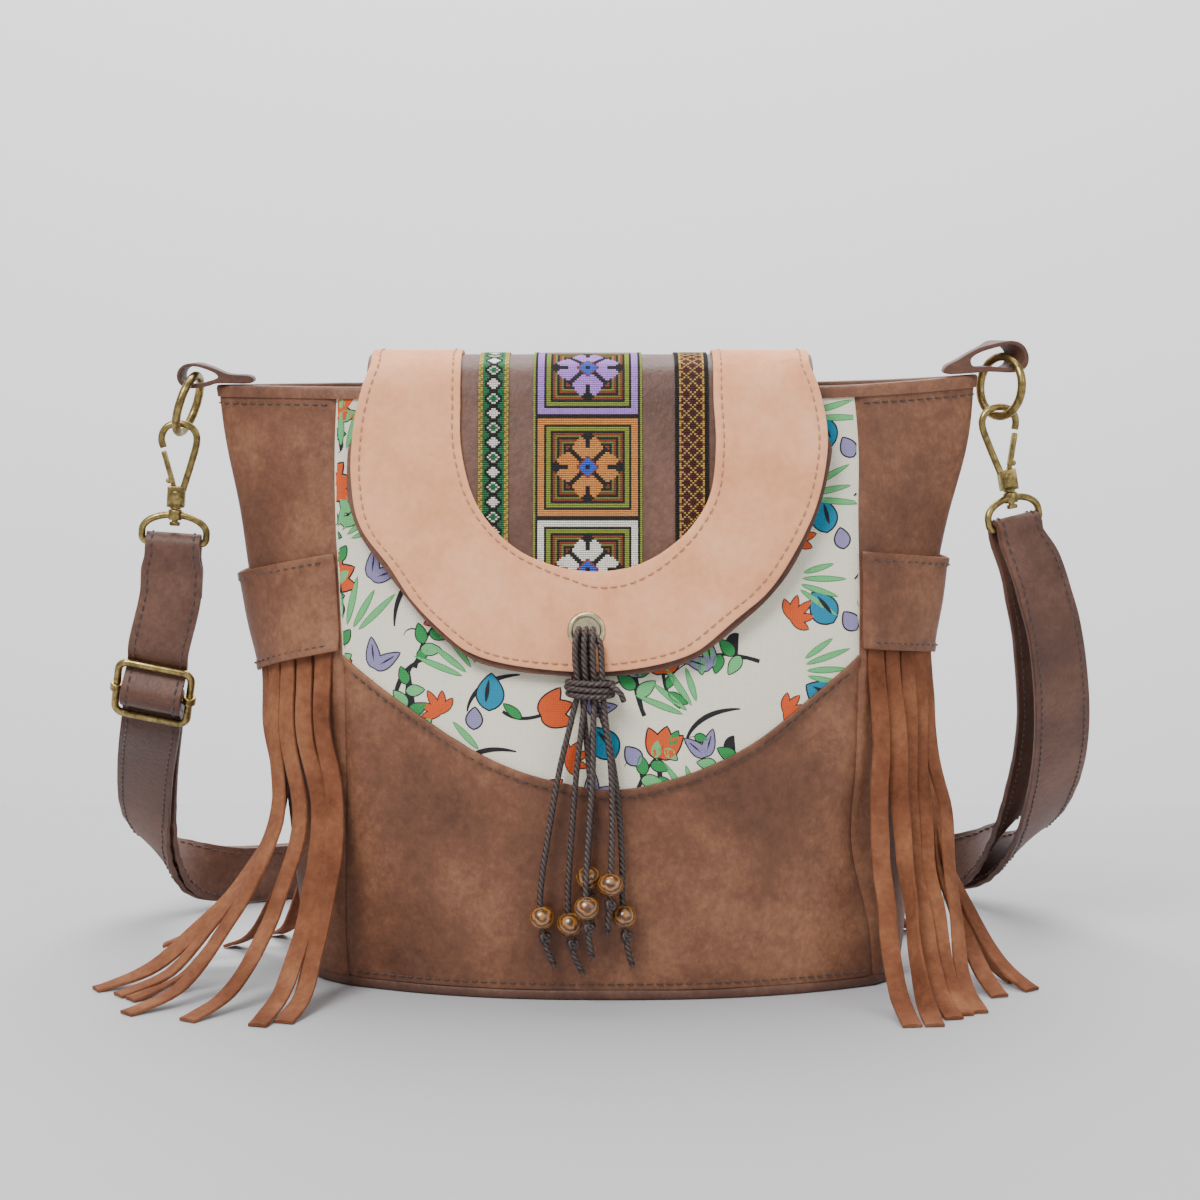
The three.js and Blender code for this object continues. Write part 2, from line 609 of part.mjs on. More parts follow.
function strip(side, out, row) {
  const [turn, kneeX, kneeY, kneeZ, tipX, tipY, raise, twist] = row;
  const place = side.ridge - side.toFront * turn * (GUSSET_CELLS / 2);
  const foot = bodyPoint(side.ridge, 0, 0).x;
  const z = bandEdge(side, "bottom", place);
  const skin = FRINGE_HEAD_GAP + FRINGE_HEAD_THICKNESS / 2 + 0.15;
  const top = bodyPoint(place, z + FRINGE_HEAD_HEIGHT / 2, skin);
  const under = bodyPoint(place, z - 2, skin + 0.3);
  const below = bodyPoint(place, z - 20, skin + 2.5);
  const knee = vector(foot + out * kneeX, kneeY, kneeZ);
  const tip = vector(foot + out * tipX, tipY, STRIP_THICKNESS / 2 + raise);
  const sole = knee.clone().lerp(tip, 0.62).setZ(9 + raise);
  const curve = new THREE.CatmullRomCurve3([top, under, below, knee, sole, tip], false, "centripetal");
  const steps = 6;
  const first = bodyPoint(place + 0.3, z, skin).sub(bodyPoint(place - 0.3, z, skin)).normalize();
  const last = vector(-(tip.y - knee.y), tip.x - knee.x, 0).normalize();
  if (last.dot(first) < 0) last.negate();
  const stations = [];
  for (let i = 0; i <= steps; i++) {
    const share = i / steps;
    const at = curve.getPoint(share);
    const along = curve.getTangent(share);
    const across = first.clone().lerp(last, THREE.MathUtils.smoothstep(share, 0, 0.9));
    const turned = Math.sin(Math.PI * THREE.MathUtils.clamp(share * 1.6 - 0.6, 0, 1)) ** 2;
    across.applyAxisAngle(along, THREE.MathUtils.degToRad(twist) * turned);
    stations.push({ at, across });
  }
  return band(stations, STRIP_WIDTH, STRIP_THICKNESS);
}

function fringe(side, out, table) {
  const bottom = (place) => bandEdge(side, "bottom", place);
  const top = (place) => bottom(place) + FRINGE_HEAD_HEIGHT;
  const outer = FRINGE_HEAD_GAP + FRINGE_HEAD_THICKNESS;
  const head = wall(gussetPlaces(side), [0, 1], bottom, top, FRINGE_HEAD_GAP, outer);
  return fuse(head, ...table.map((row) => strip(side, out, row)));
}

// The flap. A place along it is a share of its profile's rows; lift is the distance above its underside.
const flapCurve = new THREE.CatmullRomCurve3(
  FLAP_PROFILE.map(([depth, height]) => vector(0, depth * BASE_HALF_DEPTH, height * BODY_HEIGHT)),
  false, "centripetal");
const FLAP_FRONT_ROW = 8;
const FLAP_FRONT = FLAP_FRONT_ROW / (FLAP_PROFILE.length - 1);

function flapPoint(x, along, lift) {
  const at = flapCurve.getPoint(along);
  const tangent = flapCurve.getTangent(along);
  const s = sectionAt(Math.min(at.z, BODY_HEIGHT));
  const round = (Math.abs(x) / s.seamRight) ** PANEL_CURVE;
  const sag = readAlong(FLAP_PROFILE, along, 2) * (s.front - s.seam) * round;
  return vector(x, at.y + sag + tangent.z * lift, at.z - tangent.y * lift);
}

// The place along the flap's front at a height given as a share of the body's height.
function frontPlace(height) {
  let low = FLAP_FRONT;
  let high = 1;
  for (let i = 0; i < 30; i++) {
    const middle = (low + high) / 2;
    if (flapCurve.getPoint(middle).z > height * BODY_HEIGHT) low = middle;
    else high = middle;
  }
  return (low + high) / 2;
}

function profilePlaces() {
  return FLAP_PROFILE.slice(0, FLAP_FRONT_ROW).map((row, i) => i / (FLAP_PROFILE.length - 1));
}

function eyeletHole() {
  const hole = new THREE.CylinderGeometry(EYELET_BORE + 0.9, EYELET_BORE + 0.9, 20, 16);
  return aimed(hole, flapPoint(EYELET_X, frontPlace(EYELET_Z / BODY_HEIGHT), 0), eyeletAxis());
}

function eyeletAxis() {
  const along = frontPlace(EYELET_Z / BODY_HEIGHT);
  return flapPoint(EYELET_X, along, 1).sub(flapPoint(EYELET_X, along, 0)).normalize();
}

// A geometry made along +Y, turned to an axis and set at a point.
function aimed(geometry, at, axis) {
  const turn = new THREE.Quaternion().setFromUnitVectors(vector(0, 1, 0), axis);
  return geometry.applyQuaternion(turn).translate(at.x, at.y, at.z);
}

function flapBacking() {
  const [, leftTop, rightTop] = FLAP_OUTLINE[0];
  const rows = [
    ...profilePlaces().map((along) => [along, leftTop, rightTop]),
    ...FLAP_OUTLINE.slice(1).map(([height, left, right]) => [frontPlace(height), left, right]),
  ];
  const cells = 6;
  const grid = (lift) => rows.map(([along, left, right]) => {
    const line = [];
    for (let i = 0; i <= cells; i++) {
      line.push(flapPoint(THREE.MathUtils.lerp(-left, right, i / cells) * RIM_HALF_WIDTH, along, lift));
    }
    return line;
  });
  return cut(sheet(grid(FLAP_SHEET), grid(0)), eyeletHole());
}

function flapOverlay() {
  const first = OVERLAY_U[0];
  const last = OVERLAY_U[OVERLAY_U.length - 1];
  const narrow = OVERLAY_INSET / RIM_HALF_WIDTH;
  const outerLeft = -FLAP_OUTLINE[0][1] + narrow;
  const outerRight = FLAP_OUTLINE[0][2] - narrow;
  const arm = profilePlaces();
  const stations = [
    ...arm.map((along) => [outerLeft, along, first[2], along]),
    ...OVERLAY_U.map(([x, z, innerX, innerZ]) => [x, frontPlace(z), innerX, frontPlace(innerZ)]),
    ...arm.reverse().map((along) => [outerRight, along, last[2], along]),
  ];
  const cells = 3;
  const base = FLAP_SHEET + FIT;
  const grid = (lift) => stations.map(([x, along, innerX, innerAlong]) => {
    const line = [];
    for (let i = 0; i <= cells; i++) {
      const across = THREE.MathUtils.lerp(x, innerX, i / cells) * RIM_HALF_WIDTH;
      line.push(flapPoint(across, THREE.MathUtils.lerp(along, innerAlong, i / cells), lift));
    }
    return line;
  });
  return cut(sheet(grid(base + OVERLAY_SHEET), grid(base)), eyeletHole());
}

// Height of the window's lower edge at an x, from the inner line of the overlay.
function windowFoot(x) {
  const inner = OVERLAY_U.map((row) => [row[2], row[3]])
    .filter((row, i, all) => i === 0 || row[0] > all[i - 1][0]);
  return read(inner, x / RIM_HALF_WIDTH, 1) + FIT / BODY_HEIGHT;
}

// A woven band on the flap from its back end down to the window's lower edge.
function ribbon(centre, width, cells) {
  const top = profilePlaces();
  const frontRows = 4;
  const grid = (lift) => {
    const lines = [];
    for (let row = 0; row < top.length + frontRows; row++) {
      const line = [];
      for (let i = 0; i <= cells; i++) {
        const x = centre + width * (i / cells - 0.5);
        const end = frontPlace(windowFoot(x));
        const down = (row - top.length) / (frontRows - 1);
        const along = row < top.length ? top[row] : THREE.MathUtils.lerp(FLAP_FRONT, end, down);
        line.push(flapPoint(x, along, lift));
      }
      lines.push(line);
    }
    return lines;
  };
  const base = FLAP_SHEET + FIT;
  return sheet(grid(base + RIBBON_SHEET), grid(base));
}

// Flanged eyelet through both sheets of the flap.
function eyelet() {
  const stack = FLAP_SHEET + FIT + OVERLAY_SHEET;
  const barrel = EYELET_BORE + 0.6;
  const profile = [
    [EYELET_BORE, -0.9],
    [EYELET_RADIUS - 0.4, -0.9],
    [EYELET_RADIUS - 0.4, -FIT],
    [barrel, -FIT],
    [barrel, stack + FIT],
    [EYELET_RADIUS, stack + FIT],
    [EYELET_RADIUS - 0.5, stack + 1],
    [EYELET_BORE + 0.5, stack + 1.2],
    [EYELET_BORE, stack + 0.8],
    [EYELET_BORE, -0.9],
  ];
  const ring = new THREE.LatheGeometry(profile.map(([r, h]) => new THREE.Vector2(r, h)), 14);
  return aimed(ring, flapPoint(EYELET_X, frontPlace(EYELET_Z / BODY_HEIGHT), 0), eyeletAxis());
}

// Tassel
function cordCurve(points) {
  const curve = new THREE.CatmullRomCurve3(points.map((p) => vector(...p)), false, "centripetal");
  curve.getUtoTmapping = (share) => share;
  return curve;
}

function cord(points) {
  const section = new THREE.Shape();
  section.absarc(0, 0, CORD_RADIUS, 0, Math.PI * 2);
  const steps = points.length - 1;
  const extrudePath = cordCurve(points);
  const tube = new THREE.ExtrudeGeometry(section, { steps, curveSegments: 4, extrudePath });
  return joined(tube);
}

// A ball drilled along its axis for the cord.
function drilledBall(radius, squash, arcs, sides) {
  const bore = CORD_RADIUS + FIT;
  const edge = Math.asin(bore / radius);
  const profile = [];
  for (let i = 0; i <= arcs; i++) {
    const turn = THREE.MathUtils.lerp(edge, Math.PI - edge, i / arcs);
    profile.push(new THREE.Vector2(radius * Math.sin(turn), -radius * squash * Math.cos(turn)));
  }
  profile.push(profile[0].clone());
  return new THREE.LatheGeometry(profile, sides);
}

// Sets a piece on the cord's straight piece, at a share of the way down it.
function onCord(points, share, geometry) {
  const [above, below] = points.slice(-3, -1).map((p) => vector(...p));
  return aimed(geometry, above.clone().lerp(below, share), above.sub(below).normalize());
}

// Two turns of cord round the six strands, just under the flap.
function wrapKnot() {
  const centre = vector(-3.9, -61.5, 130.2);
  const half = { x: 9.2, y: 5.6 };
  const turns = [-1, 1].map((level) => {
    const rings = [];
    const steps = 14;
    for (let i = 0; i < steps; i++) {
      const turn = (i / steps) * Math.PI * 2;
      const out = vector(Math.cos(turn) / half.x, Math.sin(turn) / half.y, 0).normalize();
      const at = centre.clone().add(vector(half.x * Math.cos(turn), half.y * Math.sin(turn), level * 1.02));
      const ring = [];
      for (let side = 0; side < 6; side++) {
        const angle = (side / 6) * Math.PI * 2;
        ring.push(at.clone().addScaledVector(out, CORD_RADIUS * Math.cos(angle))
          .add(vector(0, 0, CORD_RADIUS * Math.sin(angle))));
      }
      rings.push(ring);
    }
    return sweep(rings, true);
  });
  return fuse(...turns);
}

// Metal fittings are drawn in their own plane, x across and y up, with the swivel's stem axis on x = 0.
const OCTAGON = Math.tan(Math.PI / 8);

// An outline with a hole, rounded to an eight-sided wire.
function wire(shape, radius, curveSegments) {
  const bevel = radius * (1 - OCTAGON);
  const geometry = new THREE.ExtrudeGeometry(shape, {
    depth: 2 * radius * OCTAGON,
    curveSegments,
    bevelSize: bevel,
    bevelThickness: bevel,
    bevelOffset: -bevel,
    bevelSegments: 1,
  });
  return geometry.translate(0, 0, -radius * OCTAGON);
}

function block(width, height, depth, x, y, z = 0) {
  return new THREE.BoxGeometry(width, height, depth).translate(x, y, z);
}

// Pin along the fitting's depth.
function pin(radius, depth, x, y) {
  return new THREE.CylinderGeometry(radius, radius, depth, 12).rotateX(Math.PI / 2).translate(x, y, 0);
}

const HOOK_EYE_HEIGHT = 35.4;
const HOOK_EYE_HALF_WIDTH = 7.4;
const HOOK_BLOCK_HEIGHT = 8.8;
const RIVET_HEIGHT = 5.2;
const RIVET_RADIUS = 1.2;
const GATE_REACH = 19.2;
const GATE_LEAN = THREE.MathUtils.degToRad(19);
const SLOT_DEPTH = 2.4;
const SWIVEL_TOP = 3.2;
const SWIVEL_DROP = 15;
const SWIVEL_CORNER = 2.4;
const BOSS_RADIUS = 3;
const BOSS_HEIGHT = 4.4;

// Middle line of the hook's wire from the gate's seat over the top to the block, gate on the left.
const HOOK_LINE = [
  [-0.86, 0.7],
  [-1, 0.79],
  [-0.95, 0.88],
  [-0.66, 0.96],
  [0, 1],
  [0.66, 0.96],
  [0.95, 0.88],
  [1, 0.79],
  [0.76, 0.54],
  [0.36, 0.21],
];

function hook() {
  const line = HOOK_LINE.map(([x, y]) => new THREE.Vector2(x * HOOK_EYE_HALF_WIDTH, y * HOOK_EYE_HEIGHT));
  const curve = new THREE.SplineCurve(line);
  const steps = 15;
  const left = [];
  const right = [];
  for (let i = 0; i <= steps; i++) {
    const at = curve.getPoint(i / steps);
    const along = curve.getTangent(i / steps);
    left.push(new THREE.Vector2(at.x - along.y * HOOK_WIRE, at.y + along.x * HOOK_WIRE));
    right.push(new THREE.Vector2(at.x + along.y * HOOK_WIRE, at.y - along.x * HOOK_WIRE));
  }
  const eye = wire(new THREE.Shape([...left, ...right.reverse()]), HOOK_WIRE, 1);
  const cheek = new THREE.Shape([[-3.1, 0], [3.1, 0], [4.2, HOOK_BLOCK_HEIGHT], [-4.2, HOOK_BLOCK_HEIGHT]]
    .map(([x, y]) => new THREE.Vector2(x, y)));
  const body = new THREE.ExtrudeGeometry(cheek, { depth: HOOK_DEPTH, bevelEnabled: false })
    .translate(0, 0, -HOOK_DEPTH / 2);
  const slot = block(8, 8, SLOT_DEPTH, -1.9, 6.4);
  const stem = new THREE.CylinderGeometry(STEM_RADIUS, STEM_RADIUS, 7, 12).translate(0, -3, 0);
  const head = new THREE.CylinderGeometry(2.3, 2.3, 1.6, 12).translate(0, -7, 0);
  const rivet = pin(RIVET_RADIUS, HOOK_DEPTH, 0, RIVET_HEIGHT);
  const rivetHead = pin(1.9, HOOK_DEPTH + 0.8, 0, RIVET_HEIGHT);
  return fuse(cut(fuse(body, rivetHead, eye), slot), rivet, stem, head);
}

// The gate turns about the rivet and closes against the hook's end.
function gate() {
  const root = pin(2.1, SLOT_DEPTH - 0.6, 0, 0);
  const arm = block(2.2, GATE_REACH, SLOT_DEPTH - 0.6, 0, GATE_REACH / 2);
  const outer = block(2.2, GATE_REACH - 5, 2.8, 0, 5 + (GATE_REACH - 5) / 2);
  const bore = pin(RIVET_RADIUS + FIT, 6, 0, 0);
  const straight = cut(fuse(root, arm, outer), bore);
  return straight.rotateZ(GATE_LEAN).translate(0, RIVET_HEIGHT, 0);
}

function loopShape(halfWidth, shoulder, rise, foot, corner, grow) {
  const path = new THREE.Shape();
  const x = halfWidth + grow;
  path.moveTo(x, shoulder);
  path.absellipse(0, shoulder, x, rise + grow, 0, Math.PI, false);
  path.absarc(-halfWidth + corner, foot + corner, corner + grow, Math.PI, Math.PI * 1.5, false);
  path.absarc(halfWidth - corner, foot + corner, corner + grow, Math.PI * 1.5, Math.PI * 2, false);
  path.closePath();
  return path;
}

// D-shaped swivel loop with a boss bored for the hook's stem.
function swivel() {
  const parts = [SWIVEL_WIRE, -SWIVEL_WIRE].map((grow) =>
    loopShape(SWIVEL_HALF_WIDTH, -10.4, 10.4 - SWIVEL_TOP, -SWIVEL_DROP, SWIVEL_CORNER, grow));
  parts[0].holes.push(parts[1]);
  const loop = wire(parts[0], SWIVEL_WIRE, 3);
  const boss = new THREE.CylinderGeometry(BOSS_RADIUS, BOSS_RADIUS, BOSS_HEIGHT, 12);
  boss.translate(0, -SWIVEL_TOP, 0);
  const bore = new THREE.CylinderGeometry(STEM_RADIUS + FIT, STEM_RADIUS + FIT, 12, 12);
  bore.translate(0, -SWIVEL_TOP, 0);
  return cut(fuse(loop, boss), bore);
}

function sliderFrame() {
  const parts = [SLIDER_WIRE, -SLIDER_WIRE].map((grow) => {
    const path = new THREE.Shape();
    const corner = 4;
    const x = SLIDER_HALF_WIDTH - corner;
    const y = SLIDER_HALF_HEIGHT - corner;
    path.absarc(x, y, corner + grow, 0, Math.PI / 2, false);
    path.absarc(-x, y, corner + grow, Math.PI / 2, Math.PI, false);
    path.absarc(-x, -y, corner + grow, Math.PI, Math.PI * 1.5, false);
    path.absarc(x, -y, corner + grow, Math.PI * 1.5, Math.PI * 2, false);
    path.closePath();
    return path;
  });
  parts[0].holes.push(parts[1]);
  return wire(parts[0], SLIDER_WIRE, 2);
}

// The slider's bar, with an eye round each side of the frame.
function sliderBar() {
  const eye = SLIDER_WIRE + FIT;
  const eyeWall = 0.9;
  const length = 2 * (SLIDER_HALF_WIDTH + eye + eyeWall) + 1;
  const bar = new THREE.CylinderGeometry(BAR_RADIUS, BAR_RADIUS, length, 8).rotateZ(Math.PI / 2);
  const eyes = [-1, 1].map((side) =>
    new THREE.CylinderGeometry(eye + eyeWall, eye + eyeWall, 2.8, 10).translate(side * SLIDER_HALF_WIDTH, 0, 0));
  const bores = [-1, 1].map((side) =>
    new THREE.CylinderGeometry(eye, eye, 6, 8).translate(side * SLIDER_HALF_WIDTH, 0, 0));
  return cut(fuse(bar, ...eyes), ...bores);
}

// Frames that hold the fittings: a point, the direction up the fitting and the direction across it.
function frame(at, up, turnDegrees) {
  const rise = vector(...up).normalize();
  const turn = THREE.MathUtils.degToRad(turnDegrees);
  const across = vector(Math.cos(turn), Math.sin(turn), 0);
  across.addScaledVector(rise, -across.dot(rise)).normalize();
  const front = across.clone().cross(rise);
  return { at: vector(...at), up: rise, across, front };
}

function framePoint(held, x, y, back) {
  return held.at.clone().addScaledVector(held.across, x).addScaledVector(held.up, y)
    .addScaledVector(held.front, -back);
}

function groupAt(held) {
  const group = new THREE.Group();
  group.quaternion.setFromRotationMatrix(new THREE.Matrix4().makeBasis(held.across, held.up, held.front));
  group.position.copy(held.at);
  return group;
}

const LEFT_STEM = [-178.8, 0, 198.4];
const LEFT_UP = [0.07, 0, 1];
const RIGHT_STEM = [172.4, 0, 205.6];
const RIGHT_UP = [-0.17, 0, 0.985];
const leftHook = frame(LEFT_STEM, LEFT_UP, 0);
const leftSwivel = frame(LEFT_STEM, LEFT_UP, 0);
const rightHook = frame(RIGHT_STEM, RIGHT_UP, 192);
const rightSwivel = frame(RIGHT_STEM, RIGHT_UP, 31);
const slider = frame([-191.5, 12, 117.5], [0.17, -0.42, 0.89], -6);

// Ring hanging in the hook's eye, with its lowest point just under the eye's top; lean is the direction
// down the ring and open the direction across its hole.
function ringFrame(hookFrame, lean, open) {
  const drop = HOOK_WIRE + RING_PLAY + RING_WIRE;
  const low = framePoint(hookFrame, 0, HOOK_EYE_HEIGHT - drop, 0);
  const up = vector(...lean).normalize().negate();
  const across = vector(...open);
  across.addScaledVector(up, -across.dot(up)).normalize();
  return { at: low.addScaledVector(up, RING_RADIUS), up, across, front: across.clone().cross(up) };
}

const leftRing = ringFrame(leftHook, [-0.3, 0, -0.954], [-0.17, -0.985, 0]);
const rightRing = ringFrame(rightHook, [-0.087, 0, -0.996], [0.59, -0.81, 0]);

function ring() {
  return new THREE.TorusGeometry(RING_RADIUS, RING_WIRE, 8, 20);
}

// A leather loop beside a corner of the rim; out is -1 on the left and 1 on the right. Away from the rim it
// turns to lie along the ring's wire.
function tab(lines, ridge, out, ringAcross) {
  const corner = bodyPoint(ridge, BODY_HEIGHT, 0);
  const drawn = (points) => {
    const line = points.map(([x, y]) => new THREE.Vector2(corner.x + out * x, corner.z + y));
    return out < 0 ? line.reverse() : line;
  };
  const shape = new THREE.Shape(drawn(lines.outer));
  shape.holes.push(new THREE.Shape(drawn(lines.hole)));
  const loop = new THREE.ExtrudeGeometry(shape, { depth: TAB_WIDTH, bevelEnabled: false });
  loop.rotateX(Math.PI / 2).translate(0, TAB_WIDTH / 2, 0);
  const places = loop.attributes.position;
  for (let i = 0; i < places.count; i++) {
    const away = THREE.MathUtils.smoothstep(out * (places.getX(i) - corner.x), 0, 10);
    places.setX(i, places.getX(i) + (places.getY(i) * away * ringAcross.x) / ringAcross.y);
  }
  return joined(loop);
}

// The strap: sewn round the left swivel's bar, woven through the slider, down behind the bag, up to the right
// swivel, round its bar and back to the slider's own bar as an inner layer.
const SWIVEL_STRAP_WIDTH = 2 * (SWIVEL_HALF_WIDTH - SWIVEL_WIRE) - 1;

function overBar(held, side, turnBack) {
  const reach = SWIVEL_WIRE + FIT + STRAP_THICKNESS / 2;
  const across = held.across.clone().multiplyScalar(side);
  const stations = [];
  for (let i = -1; i <= 5; i++) {
    const turn = (Math.PI * THREE.MathUtils.clamp(i, 0, 4)) / 4;
    const drop = i < 0 || i > 4 ? 5 : 0;
    const back = reach * Math.cos(turn) * turnBack;
    const y = -SWIVEL_DROP - drop + reach * Math.sin(turn);
    stations.push({ at: framePoint(held, 0, y, back), across, wide: SWIVEL_STRAP_WIDTH });
  }
  return stations;
}

function woven(table) {
  return table.map(([along, depth]) => ({
    at: framePoint(slider, 0, along * SLIDER_HALF_HEIGHT, depth * STRAP_PITCH),
    across: slider.across,
  }));
}

function strapStations() {
  const run = STRAP_RUN.map(([x, y, z]) => vector(x, y, z));
  const runCurve = new THREE.CatmullRomCurve3(run, false, "centripetal");
  const outer = [];
  const inner = [];
  const steps = 2 * (STRAP_RUN.length - 1);
  for (let i = 0; i <= steps; i++) {
    const share = i / steps;
    const at = runCurve.getPoint(share);
    const across = vector(...[3, 4, 5].map((column) => readAlong(STRAP_RUN, share, column))).normalize();
    const inward = across.clone().cross(runCurve.getTangent(share)).normalize();
    outer.push({ at, across });
    const gap = readAlong(STRAP_RUN, share, 6);
    inner.push({ at: at.clone().addScaledVector(inward, gap), across });
  }
  const sewn = STRAP_PITCH / 2 + 0.05;
  const leftEnd = (back, y) => ({ at: framePoint(leftSwivel, 0, y, back), across: leftSwivel.across });
  return [
    leftEnd(sewn, -38),
    leftEnd(sewn, -27),
    ...overBar(leftSwivel, 1, 1),
    leftEnd(-sewn, -27),
    leftEnd(-sewn, -38),
    ...woven(OUTER_WEAVE),
    ...outer,
    ...overBar(rightSwivel, -1, -1),
    ...inner.reverse(),
    ...woven(INNER_WEAVE),
  ];
}

const object = new THREE.Group();

function add(name, geometry, material, parent = object) {
  const mesh = new THREE.Mesh(geometry, material);
  mesh.name = name;
  parent.add(mesh);
}

add("front_lower_panel", lowerPanel(), LEATHER);
add("front_canvas_panel", canvasPanel(), CANVAS);
add("back_panel", plainWall(BACK_RIGHT, BACK_LEFT), LEATHER);
add("right_gusset", plainWall(FRONT_RIGHT, BACK_RIGHT), LEATHER);
add("left_gusset", plainWall(BACK_LEFT, LOOP), LEATHER);
add("base_panel", basePanel(), DARK_LEATHER);
add("rim_binding", rimBinding(), LEATHER);
add("left_side_band", sideBand(LEFT_BAND), LEATHER);
add("right_side_band", sideBand(RIGHT_BAND), LEATHER);
add("left_fringe", fringe(LEFT_BAND, -1, LEFT_STRIPS), SUEDE);
add("right_fringe", fringe(RIGHT_BAND, 1, RIGHT_STRIPS), SUEDE);

add("flap_backing", flapBacking(), DARK_LEATHER);
add("flap_overlay", flapOverlay(), NUBUCK);
add("flap_centre_band", ribbon(CENTRE_BAND_X, CENTRE_BAND_WIDTH, 4), EMBROIDERY);
add("flap_left_ribbon", ribbon(LEFT_RIBBON_X, LEFT_RIBBON_WIDTH, 2), RIBBON_GREEN);
add("flap_right_ribbon", ribbon(RIGHT_RIBBON_X, RIGHT_RIBBON_WIDTH, 2), RIBBON_RED);
add("eyelet", eyelet(), PALE_BRASS);

CORDS.forEach((points, i) => {
  const number = i + 1;
  add(`tassel_cord_${number}`, cord(points), CORD);
  add(`tassel_bead_${number}`, onCord(points, BEAD_PLACE, drilledBall(BEAD_RADIUS, 0.95, 6, 10)), WOOD);
  add(`tassel_end_knot_${number}`, onCord(points, KNOT_PLACE, drilledBall(KNOT_RADIUS, 1.05, 3, 7)), CORD);
});
add("tassel_wrap_knot", wrapKnot(), CORD);

add("left_tab", tab(LEFT_TAB, LEFT_RIDGE, -1, leftRing.across), LEATHER);
add("right_tab", tab(RIGHT_TAB, RIGHT_RIDGE, 1, rightRing.across), LEATHER);
const fittings = [
  ["left", leftRing, leftHook, leftSwivel],
  ["right", rightRing, rightHook, rightSwivel],
];
for (const [side, ringPlace, hookPlace, swivelPlace] of fittings) {
  const [ringGroup, hookGroup, swivelGroup] = [ringPlace, hookPlace, swivelPlace].map(groupAt);
  add(`${side}_ring`, ring(), BRASS, ringGroup);
  add(`${side}_hook`, hook(), BRASS, hookGroup);
  add(`${side}_gate`, gate(), BRASS, hookGroup);
  add(`${side}_swivel_loop`, swivel(), BRASS, swivelGroup);
  object.add(ringGroup, hookGroup, swivelGroup);
}
const sliderGroup = groupAt(slider);
add("slider_frame", sliderFrame(), BRASS, sliderGroup);
add("slider_bar", sliderBar(), BRASS, sliderGroup);
object.add(sliderGroup);
add("strap", band(strapStations(), STRAP_WIDTH, STRAP_THICKNESS), LEATHER);

export default object;
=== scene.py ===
# %% [markdown]
# # A fringed crossbody bag
# The bag is brown faux leather with a printed canvas panel, a flap that carries a nubuck border, an
# embroidered band and two woven ribbons, suede fringes at both sides, a beaded cord tassel and a long strap
# on brass swivel hooks. The measured solids come first, as a frame in metres. Every piece made here is
# shaped on the same lengths, so it lies exactly where the solid lies.

import json
import math

import bmesh
import bpy
from mathutils import Matrix, Vector, noise

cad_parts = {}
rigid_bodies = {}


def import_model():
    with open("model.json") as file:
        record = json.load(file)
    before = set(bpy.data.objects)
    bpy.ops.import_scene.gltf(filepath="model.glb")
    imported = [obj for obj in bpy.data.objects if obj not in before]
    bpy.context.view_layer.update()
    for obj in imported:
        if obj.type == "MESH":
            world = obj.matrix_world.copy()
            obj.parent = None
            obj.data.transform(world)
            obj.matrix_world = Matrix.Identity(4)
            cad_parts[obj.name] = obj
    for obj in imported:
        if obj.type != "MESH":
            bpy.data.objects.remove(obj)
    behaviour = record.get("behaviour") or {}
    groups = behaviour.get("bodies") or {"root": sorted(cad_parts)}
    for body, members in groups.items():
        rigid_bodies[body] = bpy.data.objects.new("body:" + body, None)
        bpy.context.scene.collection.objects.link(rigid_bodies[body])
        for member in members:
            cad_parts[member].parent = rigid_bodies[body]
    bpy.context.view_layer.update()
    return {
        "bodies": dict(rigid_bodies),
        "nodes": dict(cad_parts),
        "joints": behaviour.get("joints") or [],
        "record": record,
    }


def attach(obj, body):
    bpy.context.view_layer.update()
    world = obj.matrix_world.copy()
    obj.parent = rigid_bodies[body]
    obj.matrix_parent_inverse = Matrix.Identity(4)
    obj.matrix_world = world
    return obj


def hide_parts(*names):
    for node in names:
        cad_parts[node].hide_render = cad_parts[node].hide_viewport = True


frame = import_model()
print("nodes in the frame:", len(frame["nodes"]))

# %% [markdown]
# ## Camera
# A product photograph is taken with a long lens from a little above the subject, so that the sides stay
# upright. The camera stands 1.26 m in front of the bag, 0.31 m up, and looks down by under seven degrees.

# %% Camera
MM = 0.001
CAMERA_DISTANCE = 1260 * MM
CAMERA_HEIGHT = 306 * MM
CAMERA_TILT = math.atan(350 / 3000)

lens = bpy.data.cameras.new("camera")
lens.sensor_width = 36
lens.lens = 90
lens.clip_end = 20
camera = bpy.data.objects.new("camera", lens)
bpy.context.collection.objects.link(camera)
camera.location = (0, -CAMERA_DISTANCE, CAMERA_HEIGHT)
camera.rotation_euler = (math.pi / 2 - CAMERA_TILT, 0, 0)
bpy.context.scene.camera = camera
print("camera at", tuple(round(value, 3) for value in camera.location))

# %% [markdown]
# ## Small helpers for materials
# Colours are written as the hex values that a paint program shows. The shader wants linear light, so one
# function turns them. One more function adds a node with its settings and its links.

# %% Colours and nodes
def colour(code):
    """A hex colour as linear red, green, blue and alpha."""
    shares = [int(code[i:i + 2], 16) / 255 for i in (1, 3, 5)]
    linear = [s / 12.92 if s <= 0.04045 else ((s + 0.055) / 1.055) ** 2.4 for s in shares]
    return (*linear, 1)


def add_node(tree, kind, inputs=(), **settings):
    """Adds a node. Inputs pair a socket with a value or with another node's output."""
    node = tree.nodes.new(kind)
    for name, value in settings.items():
        setattr(node, name, value)
    for socket, value in dict(inputs).items():
        if isinstance(value, bpy.types.NodeSocket):
            tree.links.new(value, node.inputs[socket])
        else:
            node.inputs[socket].default_value = value
    return node


